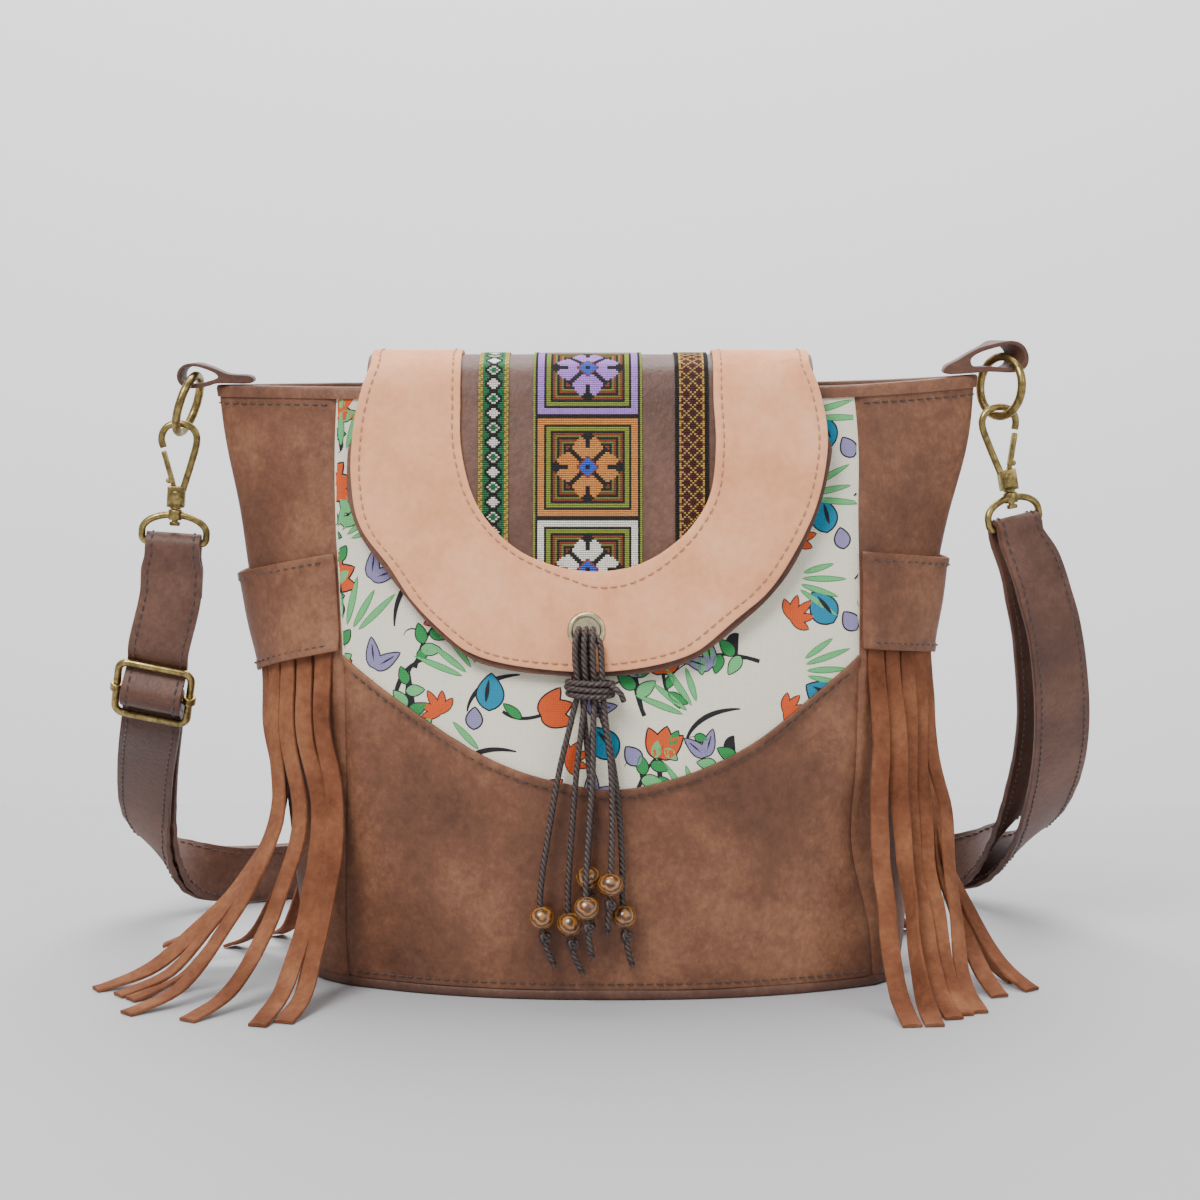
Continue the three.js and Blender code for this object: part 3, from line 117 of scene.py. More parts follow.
def start_material(name, roughness, **sockets):
    """A material with one shader; the named sockets keep a constant value."""
    material = bpy.data.materials.new(name)
    material.use_nodes = True
    tree = material.node_tree
    tree.nodes.clear()
    shader = add_node(tree, "ShaderNodeBsdfPrincipled", {"Roughness": roughness})
    for socket, value in sockets.items():
        shader.inputs[socket.replace("_", " ")].default_value = value
    add_node(tree, "ShaderNodeOutputMaterial", {"Surface": shader.outputs[0]})
    return material, tree, shader


def ramp(tree, factor, *stops):
    """A colour ramp over a factor; stops are pairs of a place and a hex colour."""
    node = add_node(tree, "ShaderNodeValToRGB", {"Fac": factor})
    elements = node.color_ramp.elements
    while len(elements) < len(stops):
        elements.new(0.5)
    for element, (place, code) in zip(elements, stops):
        element.position = place
        element.color = colour(code)
    return node.outputs["Color"]


def math_node(tree, operation, first, second=0.0):
    return add_node(tree, "ShaderNodeMath", {0: first, 1: second}, operation=operation).outputs[0]


def weighed(tree, first, first_weight, second, second_weight):
    """The sum of two values, each times its weight."""
    return math_node(tree, "ADD", math_node(tree, "MULTIPLY", first, first_weight),
                     math_node(tree, "MULTIPLY", second, second_weight))


def clouds(tree, size_mm, detail=4, roughness=0.55, coordinates=None):
    """Noise whose blotches are about size_mm across, on object coordinates unless others are given."""
    place = coordinates or add_node(tree, "ShaderNodeTexCoord").outputs["Object"]
    values = {"Vector": place, "Scale": 1 / (size_mm * MM), "Detail": detail, "Roughness": roughness}
    return add_node(tree, "ShaderNodeTexNoise", values).outputs["Fac"]


def bump(tree, shader, height, depth_mm, strength=1.0):
    values = {"Height": height, "Distance": depth_mm * MM, "Strength": strength}
    tree.links.new(add_node(tree, "ShaderNodeBump", values).outputs[0], shader.inputs["Normal"])


# %% [markdown]
# ## Leather
# The brown leather is a polyurethane coat on a knitted backing, printed with a crease grain and rubbed so
# that lighter tan comes through in clouds. Two sizes of noise give the clouds and the rubbed flecks, cells
# of about 1.3 mm give the grain, and stretched noise gives the longer creases.

# %% Distressed faux leather
def distressed_leather(name, dark, middle, light):
    material, tree, shader = start_material(name, 0.5, Specular_IOR_Level=0.42)
    large = clouds(tree, 60, detail=4, roughness=0.55)
    flecks = clouds(tree, 4.5, detail=8, roughness=0.78)
    tone = weighed(tree, large, 0.62, flecks, 0.38)
    base = ramp(tree, tone, (0.36, dark), (0.5, middle), (0.64, light))
    place = add_node(tree, "ShaderNodeTexCoord").outputs["Object"]
    squeezed = {0: place, 1: (1, 1, 0.75)}
    bent = add_node(tree, "ShaderNodeVectorMath", squeezed, operation="MULTIPLY").outputs[0]
    cells = add_node(
        tree, "ShaderNodeTexVoronoi", {"Vector": bent, "Scale": 1 / (1.5 * MM), "Randomness": 1.0},
        feature="SMOOTH_F1",
    ).outputs["Distance"]
    creases = clouds(tree, 3.4, detail=6, roughness=0.7)
    grain = weighed(tree, cells, -0.55, creases, 0.9)
    # Painted shade: the colour is pulled towards the dark tone where the cells set the grain low, in its
    # hollows.
    between = math_node(tree, "MULTIPLY", cells, 0.42)
    painted_hollow_shade = add_node(tree, "ShaderNodeMixRGB", {"Fac": between, "Color1": base, "Color2": colour(dark)})
    tree.links.new(painted_hollow_shade.outputs[0], shader.inputs["Base Color"])
    gloss = {"Value": tone, "From Min": 0.35, "From Max": 0.65, "To Min": 0.42, "To Max": 0.6}
    shine = add_node(tree, "ShaderNodeMapRange", gloss)
    tree.links.new(shine.outputs[0], shader.inputs["Roughness"])
    bump(tree, shader, grain, 0.34, 0.75)
    return material


LEATHER = distressed_leather("distressed_pu_leather", "#503020", "#734933", "#98694b")
STRAP_LEATHER = distressed_leather("strap_pu_leather", "#442a20", "#5e3e31", "#7a5646")
EDGE_LEATHER = distressed_leather("turned_edge_leather", "#442a20", "#5d3d30", "#765442")
print("leather materials made")

# %% [markdown]
# ## Nubuck and suede
# Nubuck is leather buffed on its grain side, so it is matt and velvety with faint darker patches. Suede is
# the rougher flesh side. Both get a sheen for the light that the nap catches, and a nap drawn as fine noise,
# coarser than the real fibres so that it shows.

# %% Napped leather
def napped_leather(name, dark, middle, light, nap_mm, depth_mm, sheen):
    material, tree, shader = start_material(
        name, 0.88, Sheen_Weight=sheen, Sheen_Roughness=0.45, Specular_IOR_Level=0.2)
    shader.inputs["Sheen Tint"].default_value = colour(light)
    large = clouds(tree, 30, detail=4, roughness=0.6)
    small = clouds(tree, 3.2, detail=6, roughness=0.7)
    tone = weighed(tree, large, 0.7, small, 0.3)
    tree.links.new(ramp(tree, tone, (0.36, dark), (0.5, middle), (0.64, light)), shader.inputs["Base Color"])
    bump(tree, shader, clouds(tree, nap_mm, detail=5, roughness=0.75), depth_mm, 0.6)
    return material


NUBUCK = napped_leather("tan_nubuck", "#dd966c", "#eba57a", "#f3b48b", 0.8, 0.1, 0.04)
SUEDE = napped_leather("tan_suede", "#5f3622", "#794a32", "#936143", 1.1, 0.22, 0.3)
print("nubuck and suede made")

# %% [markdown]
# ## Printed canvas
# The upper panel is plain-woven cotton canvas. Its threads lie about a millimetre apart and pass over and
# under each other, so the height at a point is that of the thread on top there. The pattern follows the
# cloth's own map, in millimetres. Ink sinks into the threads, so printed places use the same weave in
# another colour.

# %% Woven canvas
THREAD_PITCH = 0.95


def woven_canvas(name, code, shadow=0.80):
    material, tree, shader = start_material(name, 0.9, Sheen_Weight=0.12, Specular_IOR_Level=0.2)
    cloth = add_node(tree, "ShaderNodeUVMap", uv_map="UVMap").outputs["UV"]
    parts = add_node(tree, "ShaderNodeSeparateXYZ", {0: cloth}).outputs
    warp, weft = [math_node(tree, "SINE", math_node(tree, "MULTIPLY", part, math.pi / THREAD_PITCH))
                  for part in (parts[0], parts[1])]
    over = math_node(tree, "GREATER_THAN", math_node(tree, "MULTIPLY", warp, weft), 0.0)
    thread = add_node(tree, "ShaderNodeMix", {
        "Factor": over,
        "A": math_node(tree, "ABSOLUTE", warp),
        "B": math_node(tree, "ABSOLUTE", weft),
    })
    slub = clouds(tree, 2.2, detail=4, roughness=0.6)
    height = math_node(tree, "ADD", thread.outputs["Result"], math_node(tree, "MULTIPLY", slub, 0.6))
    light = add_node(tree, "ShaderNodeMapRange", {"Value": height, "From Min": 0.2, "From Max": 1.2,
                                                  "To Min": shadow, "To Max": 1.0}).outputs[0]
    tinted = add_node(tree, "ShaderNodeMixRGB", {"Fac": 1.0, "Color1": colour(code), "Color2": light},
                      blend_type="MULTIPLY")
    tree.links.new(tinted.outputs[0], shader.inputs["Base Color"])
    bump(tree, shader, height, 0.16, 0.7)
    return material


CANVAS = woven_canvas("cream_cotton_canvas", "#efe9d4")
print("canvas made")

# %% [markdown]
# ## Thread, cord, brass and wood
# Sewing thread is spun polyester with a soft gloss. The embroidery reads its colour from the mesh, one
# stitch at a time. The tassel is waxed cotton cord, twisted, so slanting ridges run round it. The fittings
# are zinc in an antique brass finish: the plating is darker where it isn't rubbed. The beads are stained
# wood under a thick gloss lacquer.

# %% Threads and cord
def sewing_thread(name, code):
    material, tree, shader = start_material(name, 0.55, Sheen_Weight=0.3)
    fibre = clouds(tree, 0.7, detail=3)
    shader.inputs["Base Color"].default_value = colour(code)
    bump(tree, shader, fibre, 0.06, 0.5)
    return material


def counted_thread(name, roughness, metallic):
    material, tree, shader = start_material(name, roughness, Metallic=metallic, Sheen_Weight=0.15)
    dye = add_node(tree, "ShaderNodeVertexColor", layer_name="dye").outputs["Color"]
    worn = add_node(tree, "ShaderNodeMapRange", {"Value": clouds(tree, 1.6, detail=5), "To Min": 0.78,
                                                 "To Max": 1.12}).outputs[0]
    colours = {"Fac": 1.0, "Color1": dye, "Color2": worn}
    tinted = add_node(tree, "ShaderNodeMixRGB", colours, blend_type="MULTIPLY")
    tree.links.new(tinted.outputs[0], shader.inputs["Base Color"])
    bump(tree, shader, clouds(tree, 0.5, detail=3), 0.08, 0.5)
    return material


def waxed_cord(name, dark, light):
    material, tree, shader = start_material(name, 0.48, Specular_IOR_Level=0.5)
    cloth = add_node(tree, "ShaderNodeUVMap", uv_map="UVMap").outputs["UV"]
    parts = add_node(tree, "ShaderNodeSeparateXYZ", {0: cloth}).outputs
    lay = math_node(tree, "ADD", math_node(tree, "MULTIPLY", parts[0], 2 * math.pi / 7.85 * 3),
                    math_node(tree, "MULTIPLY", parts[1], 2 * math.pi / 2.4))
    ridge = math_node(tree, "SINE", lay)
    # Painted shade and light: the colour follows the twist, darker in its grooves and lighter on its crests,
    # over random clouds.
    tone = math_node(tree, "ADD", math_node(tree, "MULTIPLY", ridge, 0.3), clouds(tree, 1.5, detail=4))
    tree.links.new(ramp(tree, tone, (0.25, dark), (0.85, light)), shader.inputs["Base Color"])
    bump(tree, shader, ridge, 0.22, 0.8)
    return material


DARK_THREAD = sewing_thread("dark_brown_thread", "#3b2a22")
TAN_THREAD = sewing_thread("tan_thread", "#b07c58")
COTTON_STITCH = counted_thread("cotton_cross_stitch", 0.7, 0.0)
LUREX_STITCH = counted_thread("lurex_ribbon", 0.42, 0.25)
CORD = waxed_cord("waxed_cotton_cord", "#2b2122", "#54453f")
print("threads made")


# %% Brass and wood
def antique_brass(name, dark, light):
    material, tree, shader = start_material(name, 0.33, Metallic=1.0)
    patina = clouds(tree, 3.5, detail=6, roughness=0.68)
    tree.links.new(ramp(tree, patina, (0.38, dark), (0.62, light)), shader.inputs["Base Color"])
    shine = add_node(tree, "ShaderNodeMapRange", {"Value": patina, "From Min": 0.35, "From Max": 0.65,
                                                  "To Min": 0.44, "To Max": 0.26})
    tree.links.new(shine.outputs[0], shader.inputs["Roughness"])
    bump(tree, shader, clouds(tree, 0.9, detail=4), 0.03, 0.4)
    return material


def lacquered_wood(name, dark, middle, light):
    material, tree, shader = start_material(name, 0.35, Coat_Weight=1.0, Coat_Roughness=0.06)
    streaks = clouds(tree, 4, detail=5, roughness=0.65)
    place = add_node(tree, "ShaderNodeTexCoord").outputs["Object"]
    figure = {"Vector": place, "Scale": 210.0, "Distortion": 5.0, "Detail": 3.0, "Detail Scale": 1.5}
    rings = add_node(tree, "ShaderNodeTexWave", figure, wave_type="RINGS").outputs["Fac"]
    tone = weighed(tree, streaks, 0.6, rings, 0.4)
    tree.links.new(ramp(tree, tone, (0.3, dark), (0.5, middle), (0.68, light)), shader.inputs["Base Color"])
    return material


BRASS = antique_brass("antique_brass_plate", "#6f5f3a", "#b09a62")
PALE_BRASS = antique_brass("pale_brass_plate", "#a89a74", "#e2d6b4")
WOOD = lacquered_wood("lacquered_wood", "#3c1f0a", "#70410f", "#a8702a")
print("brass and wood made")

# %% [markdown]
# ## Lengths and smooth readings
# The tables hold a few sections of the bag as shares of its main sizes, in millimetres. A smooth curve
# through their rows gives every place between them, so the panels have no facets.

# %% Main sizes
RIM_HALF_WIDTH = 158.5
BODY_HEIGHT = 250
BASE_HALF_DEPTH = 57.5
WALL = 2
BASE_THICKNESS = 4.4
RIGHT_CORNER_LIFT = 4.5
PANEL_CURVE = 2.4


def smooth_read(table, at, column):
    """Smooth reading of a table whose first column rises or falls."""
    rows = table if table[-1][0] > table[0][0] else table[::-1]
    at = min(max(at, rows[0][0]), rows[-1][0])
    i = 0
    while i < len(rows) - 2 and at > rows[i + 1][0]:
        i += 1
    return hermite([(row[0], row[column]) for row in rows], i, at)


def hermite(knots, i, at):
    """A cubic between knots i and i + 1 whose slopes come from the neighbours."""
    def slope(j):
        before, after = max(j - 1, 0), min(j + 1, len(knots) - 1)
        return (knots[after][1] - knots[before][1]) / (knots[after][0] - knots[before][0])

    (x0, y0), (x1, y1) = knots[i], knots[i + 1]
    span = x1 - x0
    t = (at - x0) / span
    near = (1 + 2 * t) * (1 - t) ** 2 * y0 + t * t * (3 - 2 * t) * y1
    return near + span * (t * (1 - t) ** 2 * slope(i) - t * t * (1 - t) * slope(i + 1))


class Route:
    """A smooth curve through points, with even pull between them."""

    def __init__(self, points):
        self.points = [Vector(point) for point in points]

    def span(self, share):
        last = len(self.points) - 1
        place = min(max(share, 0), 1) * last
        i = min(int(place), last - 1)
        start, end = self.points[i], self.points[i + 1]
        before = self.points[i - 1] if i else 2 * start - end
        after = self.points[i + 2] if i + 2 <= last else 2 * end - start
        return before, start, end, after, place - i

    def at(self, share):
        before, start, end, after, t = self.span(share)
        legs = ((before, start), (start, end), (end, after))
        d0, d1, d2 = [max((b - a).length ** 0.5, 1e-6) for a, b in legs]
        leave = ((start - before) / d0 - (end - before) / (d0 + d1) + (end - start) / d1) * d1
        arrive = ((end - start) / d1 - (after - start) / (d1 + d2) + (after - end) / d2) * d1
        return (start + leave * t + (-3 * start + 3 * end - 2 * leave - arrive) * t * t
                + (2 * start - 2 * end + leave + arrive) * t ** 3)

    def along(self, share, step=0.002):
        return (self.at(min(share + step, 1)) - self.at(max(share - step, 0))).normalized()

    def evenly(self, spacing):
        """Shares of the route at about equal spacing."""
        fine = [i / 600 for i in range(601)]
        points = [self.at(share) for share in fine]
        reach = [0.0]
        for a, b in zip(points, points[1:]):
            reach.append(reach[-1] + (b - a).length)
        count = max(2, round(reach[-1] / spacing))
        shares, i = [], 0
        for n in range(count + 1):
            goal = reach[-1] * n / count
            while i < 599 and reach[i + 1] < goal:
                i += 1
            shares.append(fine[i] + (goal - reach[i]) / max(reach[i + 1] - reach[i], 1e-9) / 600)
        return shares


print("helpers for smooth curves ready")

# %% [markdown]
# ## The body's surface
# Seen from above the bag is a loop of forty places: the front from the left seam at 0 to the right seam at
# 12, the right gusset with its ridge at 16, the back from 20 to 32 and the left gusset with its ridge at 36.

# %% Sections of the body
# Columns: share of the height; left ridge, left seam, right seam and right ridge as shares of the rim's
# half width; front, seam and back depths as shares of the base's half depth; fullness of the gusset.
SECTIONS = [
    (0.0, 0.782, 0.666, 0.728, 0.806, 0.985, 0.54, 0.95, 2.2),
    (0.1, 0.804, 0.675, 0.714, 0.822, 1.0, 0.545, 0.97, 2.1),
    (0.24, 0.83, 0.672, 0.665, 0.828, 1.0, 0.56, 0.96, 1.8),
    (0.38, 0.855, 0.669, 0.674, 0.843, 0.985, 0.585, 0.93, 1.6),
    (0.52, 0.89, 0.671, 0.678, 0.864, 0.93, 0.59, 0.86, 1.4),
    (0.66, 0.931, 0.681, 0.679, 0.893, 0.83, 0.54, 0.76, 1.25),
    (0.78, 0.956, 0.691, 0.675, 0.927, 0.7, 0.48, 0.64, 1.15),
    (0.9, 0.993, 0.693, 0.675, 0.977, 0.56, 0.4, 0.52, 1.1),
    (1.0, 1.01, 0.686, 0.661, 0.994, 0.45, 0.35, 0.44, 1.1),
]
FRONT_LEFT, FRONT_RIGHT, RIGHT_RIDGE, BACK_RIGHT, BACK_LEFT, LEFT_RIDGE, LOOP = 0, 12, 16, 20, 32, 36, 40
sections = {}


def section(z):
    key = round(z, 2)
    if key not in sections:
        shares = [smooth_read(SECTIONS, z / BODY_HEIGHT, column) for column in range(1, 9)]
        widths = [share * RIM_HALF_WIDTH for share in shares[:4]]
        depths = [share * BASE_HALF_DEPTH for share in shares[4:7]]
        sections[key] = (*widths, *depths, shares[7])
    return sections[key]


def plan(place, z):
    """Place round the loop to x and y, in millimetres."""
    ridge_left, seam_left, seam_right, ridge_right, front, seam, back, full = section(z)
    place %= LOOP
    middle, half = (seam_right - seam_left) / 2, (seam_right + seam_left) / 2
    if place < FRONT_RIGHT:
        share = place / 6 - 1
        return middle + share * half, -seam - (front - seam) * (1 - abs(share) ** PANEL_CURVE)
    if place < BACK_RIGHT:
        turn = (place - RIGHT_RIDGE) / 4
        return seam_right + (ridge_right - seam_right) * (1 - rounded(turn) ** full), seam * turn
    if place < BACK_LEFT:
        share = 1 - (place - BACK_RIGHT) / 6
        return middle + share * half, seam + (back - seam) * (1 - abs(share) ** PANEL_CURVE)
    turn = 1 - (place - BACK_LEFT) / 4
    return -seam_left - (ridge_left - seam_left) * (1 - rounded(turn) ** full), seam * turn


def rounded(turn):
    """The turn's size with the fold at the ridge softened a little."""
    return (math.sqrt(turn * turn + 0.0036) - 0.06) / 0.942


def corner_lift(x, z):
    return RIGHT_CORNER_LIFT * max(0, (x / RIM_HALF_WIDTH - 0.4) / 0.6) ** 2 * (z / BODY_HEIGHT) ** 6


def body_point(place, z, outward, span=None, reach=0.3):
    """A point at a place, a height and a distance out from the wall, in millimetres. Its outward direction
    is measured inside span, so that a panel keeps its own direction up to its seam."""
    low, high = span or (place - reach, place + reach)
    before, after = max(place - reach, low), min(place + reach, high - 1e-4)
    (x0, y0), (x1, y1) = plan(before, z), plan(after, z)
    x, y = plan(min(place, high - 1e-4) if span else place, z)
    length = math.hypot(x1 - x0, y1 - y0)
    x += (y1 - y0) / length * outward
    y -= (x1 - x0) / length * outward
    return Vector((x, y, z + corner_lift(x, z)))


corners = [body_point(place, BODY_HEIGHT, 0) for place in (LEFT_RIDGE, RIGHT_RIDGE)]
print("rim corners:", [tuple(round(value) for value in corner) for corner in corners])

# %% [markdown]
# ## Making a piece
# A leather or cloth panel starts as a flat grid. Each of its points is moved to its place on the bag, the
# modifiers give the sheet its thickness and round its edges, and the piece is put on its body and takes over
# from the plain solid.

# %% Piece helpers
def hand_over(piece, material, nodes=(), body="bag", smooth_angle=40):
    """Gives a finished piece its material, smooth shading, body and the solids that it stands for."""
    piece.data.materials.clear()
    piece.data.materials.append(material)
    bpy.ops.object.select_all(action="DESELECT")
    piece.select_set(True)
    bpy.context.view_layer.objects.active = piece
    bpy.ops.object.shade_smooth_by_angle(angle=math.radians(smooth_angle))
    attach(piece, body)
    if nodes:
        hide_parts(*nodes)
    return piece


def apply_modifier(piece, kind, **settings):
    bpy.ops.object.select_all(action="DESELECT")
    piece.select_set(True)
    bpy.context.view_layer.objects.active = piece
    modifier = piece.modifiers.new(kind.title(), kind)
    for name, value in settings.items():
        setattr(modifier, name, value)
    bpy.ops.object.modifier_apply(modifier=modifier.name)


def soften_edges(piece, width):
    """Rounds the sharp edges of a sheet by a width in millimetres."""
    apply_modifier(piece, "BEVEL", width=width * MM, segments=2, limit_method="ANGLE",
                   angle_limit=math.radians(50))


def grid_piece(name, columns, rows, place_at, map_size=(1, 1)):
    """A grid whose point at shares u and v goes to place_at(u, v), in millimetres."""
    bpy.ops.object.select_all(action="DESELECT")
    bpy.ops.mesh.primitive_grid_add(x_subdivisions=columns, y_subdivisions=rows, size=1, calc_uvs=True)
    piece = bpy.context.object
    piece.name = name
    for vertex in piece.data.vertices:
        vertex.co = place_at(vertex.co.x + 0.5, vertex.co.y + 0.5) * MM
    for corner in piece.data.uv_layers[0].data:
        corner.uv = (corner.uv[0] * map_size[0], corner.uv[1] * map_size[1])
    piece.data.uv_layers[0].name = "UVMap"
    return piece


def mesh_piece(name, points, faces, map_places=None):
    """A mesh from points in millimetres, with a map in millimetres where one is given for each point."""
    mesh = bpy.data.meshes.new(name)
    mesh.from_pydata([Vector(point) * MM for point in points], [], faces)
    if map_places:
        layer = mesh.uv_layers.new(name="UVMap")
        for loop in mesh.loops:
            layer.data[loop.index].uv = map_places[loop.vertex_index]
    piece = bpy.data.objects.new(name, mesh)
    bpy.context.collection.objects.link(piece)
    return piece


def turn_outward(piece):
    """Turns the faces of closed shells outward."""
    shell = bmesh.new()
    shell.from_mesh(piece.data)
    bmesh.ops.recalc_face_normals(shell, faces=shell.faces)
    shell.to_mesh(piece.data)
    shell.free()
    return piece


def tube(name, centres, radius, sides=12, closed=False, flatten=1.0, radii=None):
    """A round wire or cord along points in millimetres, with a map round it and along it."""
    centres = [Vector(point) for point in centres]
    count = len(centres)
    points, places, faces = [], [], []
    side = None
    reach = 0.0
    for i, centre in enumerate(centres):
        before = centres[i - 1] if i or closed else centre
        after = centres[(i + 1) % count] if i < count - 1 or closed else centre
        along = (after - before).normalized()
        if side is None:
            side = along.orthogonal().normalized()
        side = (side - along * side.dot(along)).normalized()
        other = along.cross(side)
        reach += (centre - centres[i - 1]).length if i else 0
        size = radii[i] if radii else radius
        for turn in range(sides):
            angle = 2 * math.pi * turn / sides
            points.append(centre + side * size * math.cos(angle) + other * size * flatten * math.sin(angle))
            places.append((2 * math.pi * radius * turn / sides, reach))
    spans = count if closed else count - 1
    for i in range(spans):
        for turn in range(sides):
            a, b = i * sides + turn, i * sides + (turn + 1) % sides
            c, d = ((i + 1) % count) * sides + (turn + 1) % sides, ((i + 1) % count) * sides + turn
            faces.append((a, b, c, d))
    if not closed:
        faces.append(tuple(reversed(range(sides))))
        faces.append(tuple(range((count - 1) * sides, count * sides)))
    return mesh_piece(name, points, faces, places)


def lathe(name, profile, at, axis, sides=32):
    """A shape turned about an axis; the profile pairs a radius with a height, in millimetres."""
    turn = Vector((0, 0, 1)).rotation_difference(Vector(axis).normalized())
    points, faces = [], []
    for radius, height in profile:
        for side in range(sides):
            angle = 2 * math.pi * side / sides
            local = Vector((radius * math.cos(angle), radius * math.sin(angle), height))
            points.append(Vector(at) + turn @ local)
    for i in range(len(profile) - 1):
        for side in range(sides):
            a, b = i * sides + side, i * sides + (side + 1) % sides
            faces.append((a, b, b + sides, a + sides))
    piece = mesh_piece(name, points, faces)
    apply_weld(piece)
    return turn_outward(piece)


def apply_weld(piece):
    """Joins points that fell together and closes the flat ends."""
    shell = bmesh.new()
    shell.from_mesh(piece.data)
    bmesh.ops.remove_doubles(shell, verts=shell.verts, dist=1e-6)
    bmesh.ops.holes_fill(shell, edges=[edge for edge in shell.edges if edge.is_boundary], sides=0)
    shell.to_mesh(piece.data)
    shell.free()


def join_pieces(name, pieces):
    bpy.ops.object.select_all(action="DESELECT")
    for piece in pieces:
        piece.select_set(True)
    bpy.context.view_layer.objects.active = pieces[0]
    if len(pieces) > 1:
        bpy.ops.object.join()
    pieces[0].name = name
    return pieces[0]


print("piece helpers ready")

# %% [markdown]
# ## Sewing
# Top stitching is a row of thread loops, each a little over three millimetres long, that dive into the
# leather at both ends. One stitch is a short spindle of six sides, and the row repeats it along a line.

# %% Rows of stitches
STITCH_LENGTH = 3.1
STITCH_GAP = 0.9
THREAD_RADIUS = 0.36


# A stitch's rings. Columns: share of its length; share of its radius; lift above the surface.
STITCH_SHAPE = [(0, 0.35, -0.2), (0.18, 0.9, 0.16), (0.5, 1, 0.26), (0.82, 0.9, 0.16), (1, 0.35, -0.2)]


def stitch_row(points, outward, length=STITCH_LENGTH, gap=STITCH_GAP, radius=THREAD_RADIUS):
    """Points and faces of stitches along a line; outward holds the surface's direction at each point."""
    reach = [0.0]
    for a, b in zip(points, points[1:]):
        reach.append(reach[-1] + (b - a).length)

    def at(distance):
        distance = min(max(distance, 0), reach[-1])
        i = 0
        while i < len(points) - 2 and reach[i + 1] < distance:
            i += 1
        share = (distance - reach[i]) / max(reach[i + 1] - reach[i], 1e-9)
        return points[i].lerp(points[i + 1], share), outward[i].lerp(outward[i + 1], share).normalized()

    made, faces = [], []
    count = int(reach[-1] / (length + gap))
    for n in range(count):
        start = (n + 0.5) * reach[-1] / count - length / 2
        first = len(made)
        for share, size, lift in STITCH_SHAPE:
            centre, up = at(start + share * length)
            ahead = (at(start + share * length + 0.3)[0] - at(start + share * length - 0.3)[0]).normalized()
            side = ahead.cross(up).normalized()
            for turn in range(5):
                angle = 2 * math.pi * turn / 5
                rise, shift = radius * size * math.sin(angle), radius * size * math.cos(angle)
                made.append(centre + up * (lift + rise) + side * shift)
        for ring in range(4):
            for turn in range(5):
                a, b = first + ring * 5 + turn, first + ring * 5 + (turn + 1) % 5
                faces.append((a, b, b + 5, a + 5))
        faces.append(tuple(first + turn for turn in reversed(range(5))))
        faces.append(tuple(first + 20 + turn for turn in range(5)))
    return made, faces


def sew(name, rows, material=DARK_THREAD):
    """One piece of thread from several rows of stitches."""
    points, faces = [], []
    for made, linked in rows:
        faces += [tuple(len(points) + i for i in face) for face in linked]
        points += made
    piece = turn_outward(mesh_piece(name, points, faces))
    return hand_over(piece, material, smooth_angle=60)


def body_row(places, height_at, outward, span=None):
    """Stitches on the body's wall along places round the loop."""
    points = [body_point(place, height_at(place), outward, span) for place in places]
    lifted = [body_point(place, height_at(place), outward + 1, span) for place in places]
    return stitch_row(points, [(b - a).normalized() for a, b in zip(points, lifted)])


def spread(low, high, count):
    return [low + (high - low) * i / count for i in range(count + 1)]


print("sewing ready")

# %% [markdown]
# ## The body
# The front's lower panel laps over the canvas with a turned edge, so it stands a millimetre proud there.
# Each panel dips at its seams, where the two edges are turned in, and soft leather never lies quite flat,
# so a slow noise moves it in and out a little.

# %% Panels
YOKE_LINE = [
    (0, 0.552), (0.08, 0.5), (0.16, 0.455), (0.25, 0.408), (0.34, 0.374), (0.44, 0.352),
    (0.52, 0.343), (0.6, 0.352), (0.7, 0.378), (0.8, 0.42), (0.9, 0.485), (1, 0.552),
]
WALL_TOP = BODY_HEIGHT - 2


def yoke_height(place):
    return smooth_read(YOKE_LINE, place / FRONT_RIGHT, 1) * BODY_HEIGHT


def slack(x, y, z, size=46, depth=0.9):
    return noise.noise(Vector((x, y, z)) / size) * depth


def seam_dip(share, width, depth=1.3, reach=3.5):
    """How far a panel falls back near its two seams."""
    near = min(share, 1 - share) * width
    return depth * max(0, 1 - near / reach) ** 2


def panel(name, span, bottom, top, columns, rows, material, node, top_lift=0.0, swell=0.0):
    low, high = span
    width = 24.0 * (high - low) / 2 if high - low == 12 else 94.0

    def place_at(u, v):
        place = low + (high - low) * u
        z = bottom(place) + (top(place) - bottom(place)) * v
        base = body_point(place, z, 0, span)
        near_top = max(0, 1 - (top(place) - z) / 5)
        lift = top_lift * min(1, near_top * 2.5) if top_lift else 0
        hump = swell * 4 * u * (1 - u) * math.sin(math.pi * v)
        out = lift + hump + slack(*base) * min(1, 5 * u, 5 * (1 - u)) - seam_dip(u, width)
        return body_point(place, z, out, span)

    piece = grid_piece(name, columns, rows, place_at, (width, 200))
    apply_modifier(piece, "SOLIDIFY", thickness=WALL * MM, offset=-1)
    soften_edges(piece, 0.5)
    return hand_over(piece, material, [node], smooth_angle=55)


floor_line = lambda place: BASE_THICKNESS
rim_line = lambda place: WALL_TOP
FRONT, RIGHT, BACK, LEFT = (0, 12), (12, 20), (20, 32), (32, 40)
lower_panel = panel("front_lower_leather", FRONT, floor_line, lambda place: yoke_height(place) + 2.2, 72, 60,
                    LEATHER, "front_lower_panel", top_lift=1.3, swell=0.8)
back_leather = panel("back_leather", BACK, floor_line, rim_line, 60, 70, LEATHER, "back_panel")
panel("right_gusset_leather", RIGHT, floor_line, rim_line, 48, 80, LEATHER, "right_gusset")
panel("left_gusset_leather", LEFT, floor_line, rim_line, 48, 80, LEATHER, "left_gusset")


def canvas_place(u, v):
    place = 12 * u
    z = yoke_height(place) - 1 + (WALL_TOP - yoke_height(place) + 1) * v
    return body_point(place, z, -0.25 - seam_dip(u, 216, 1.0), FRONT)


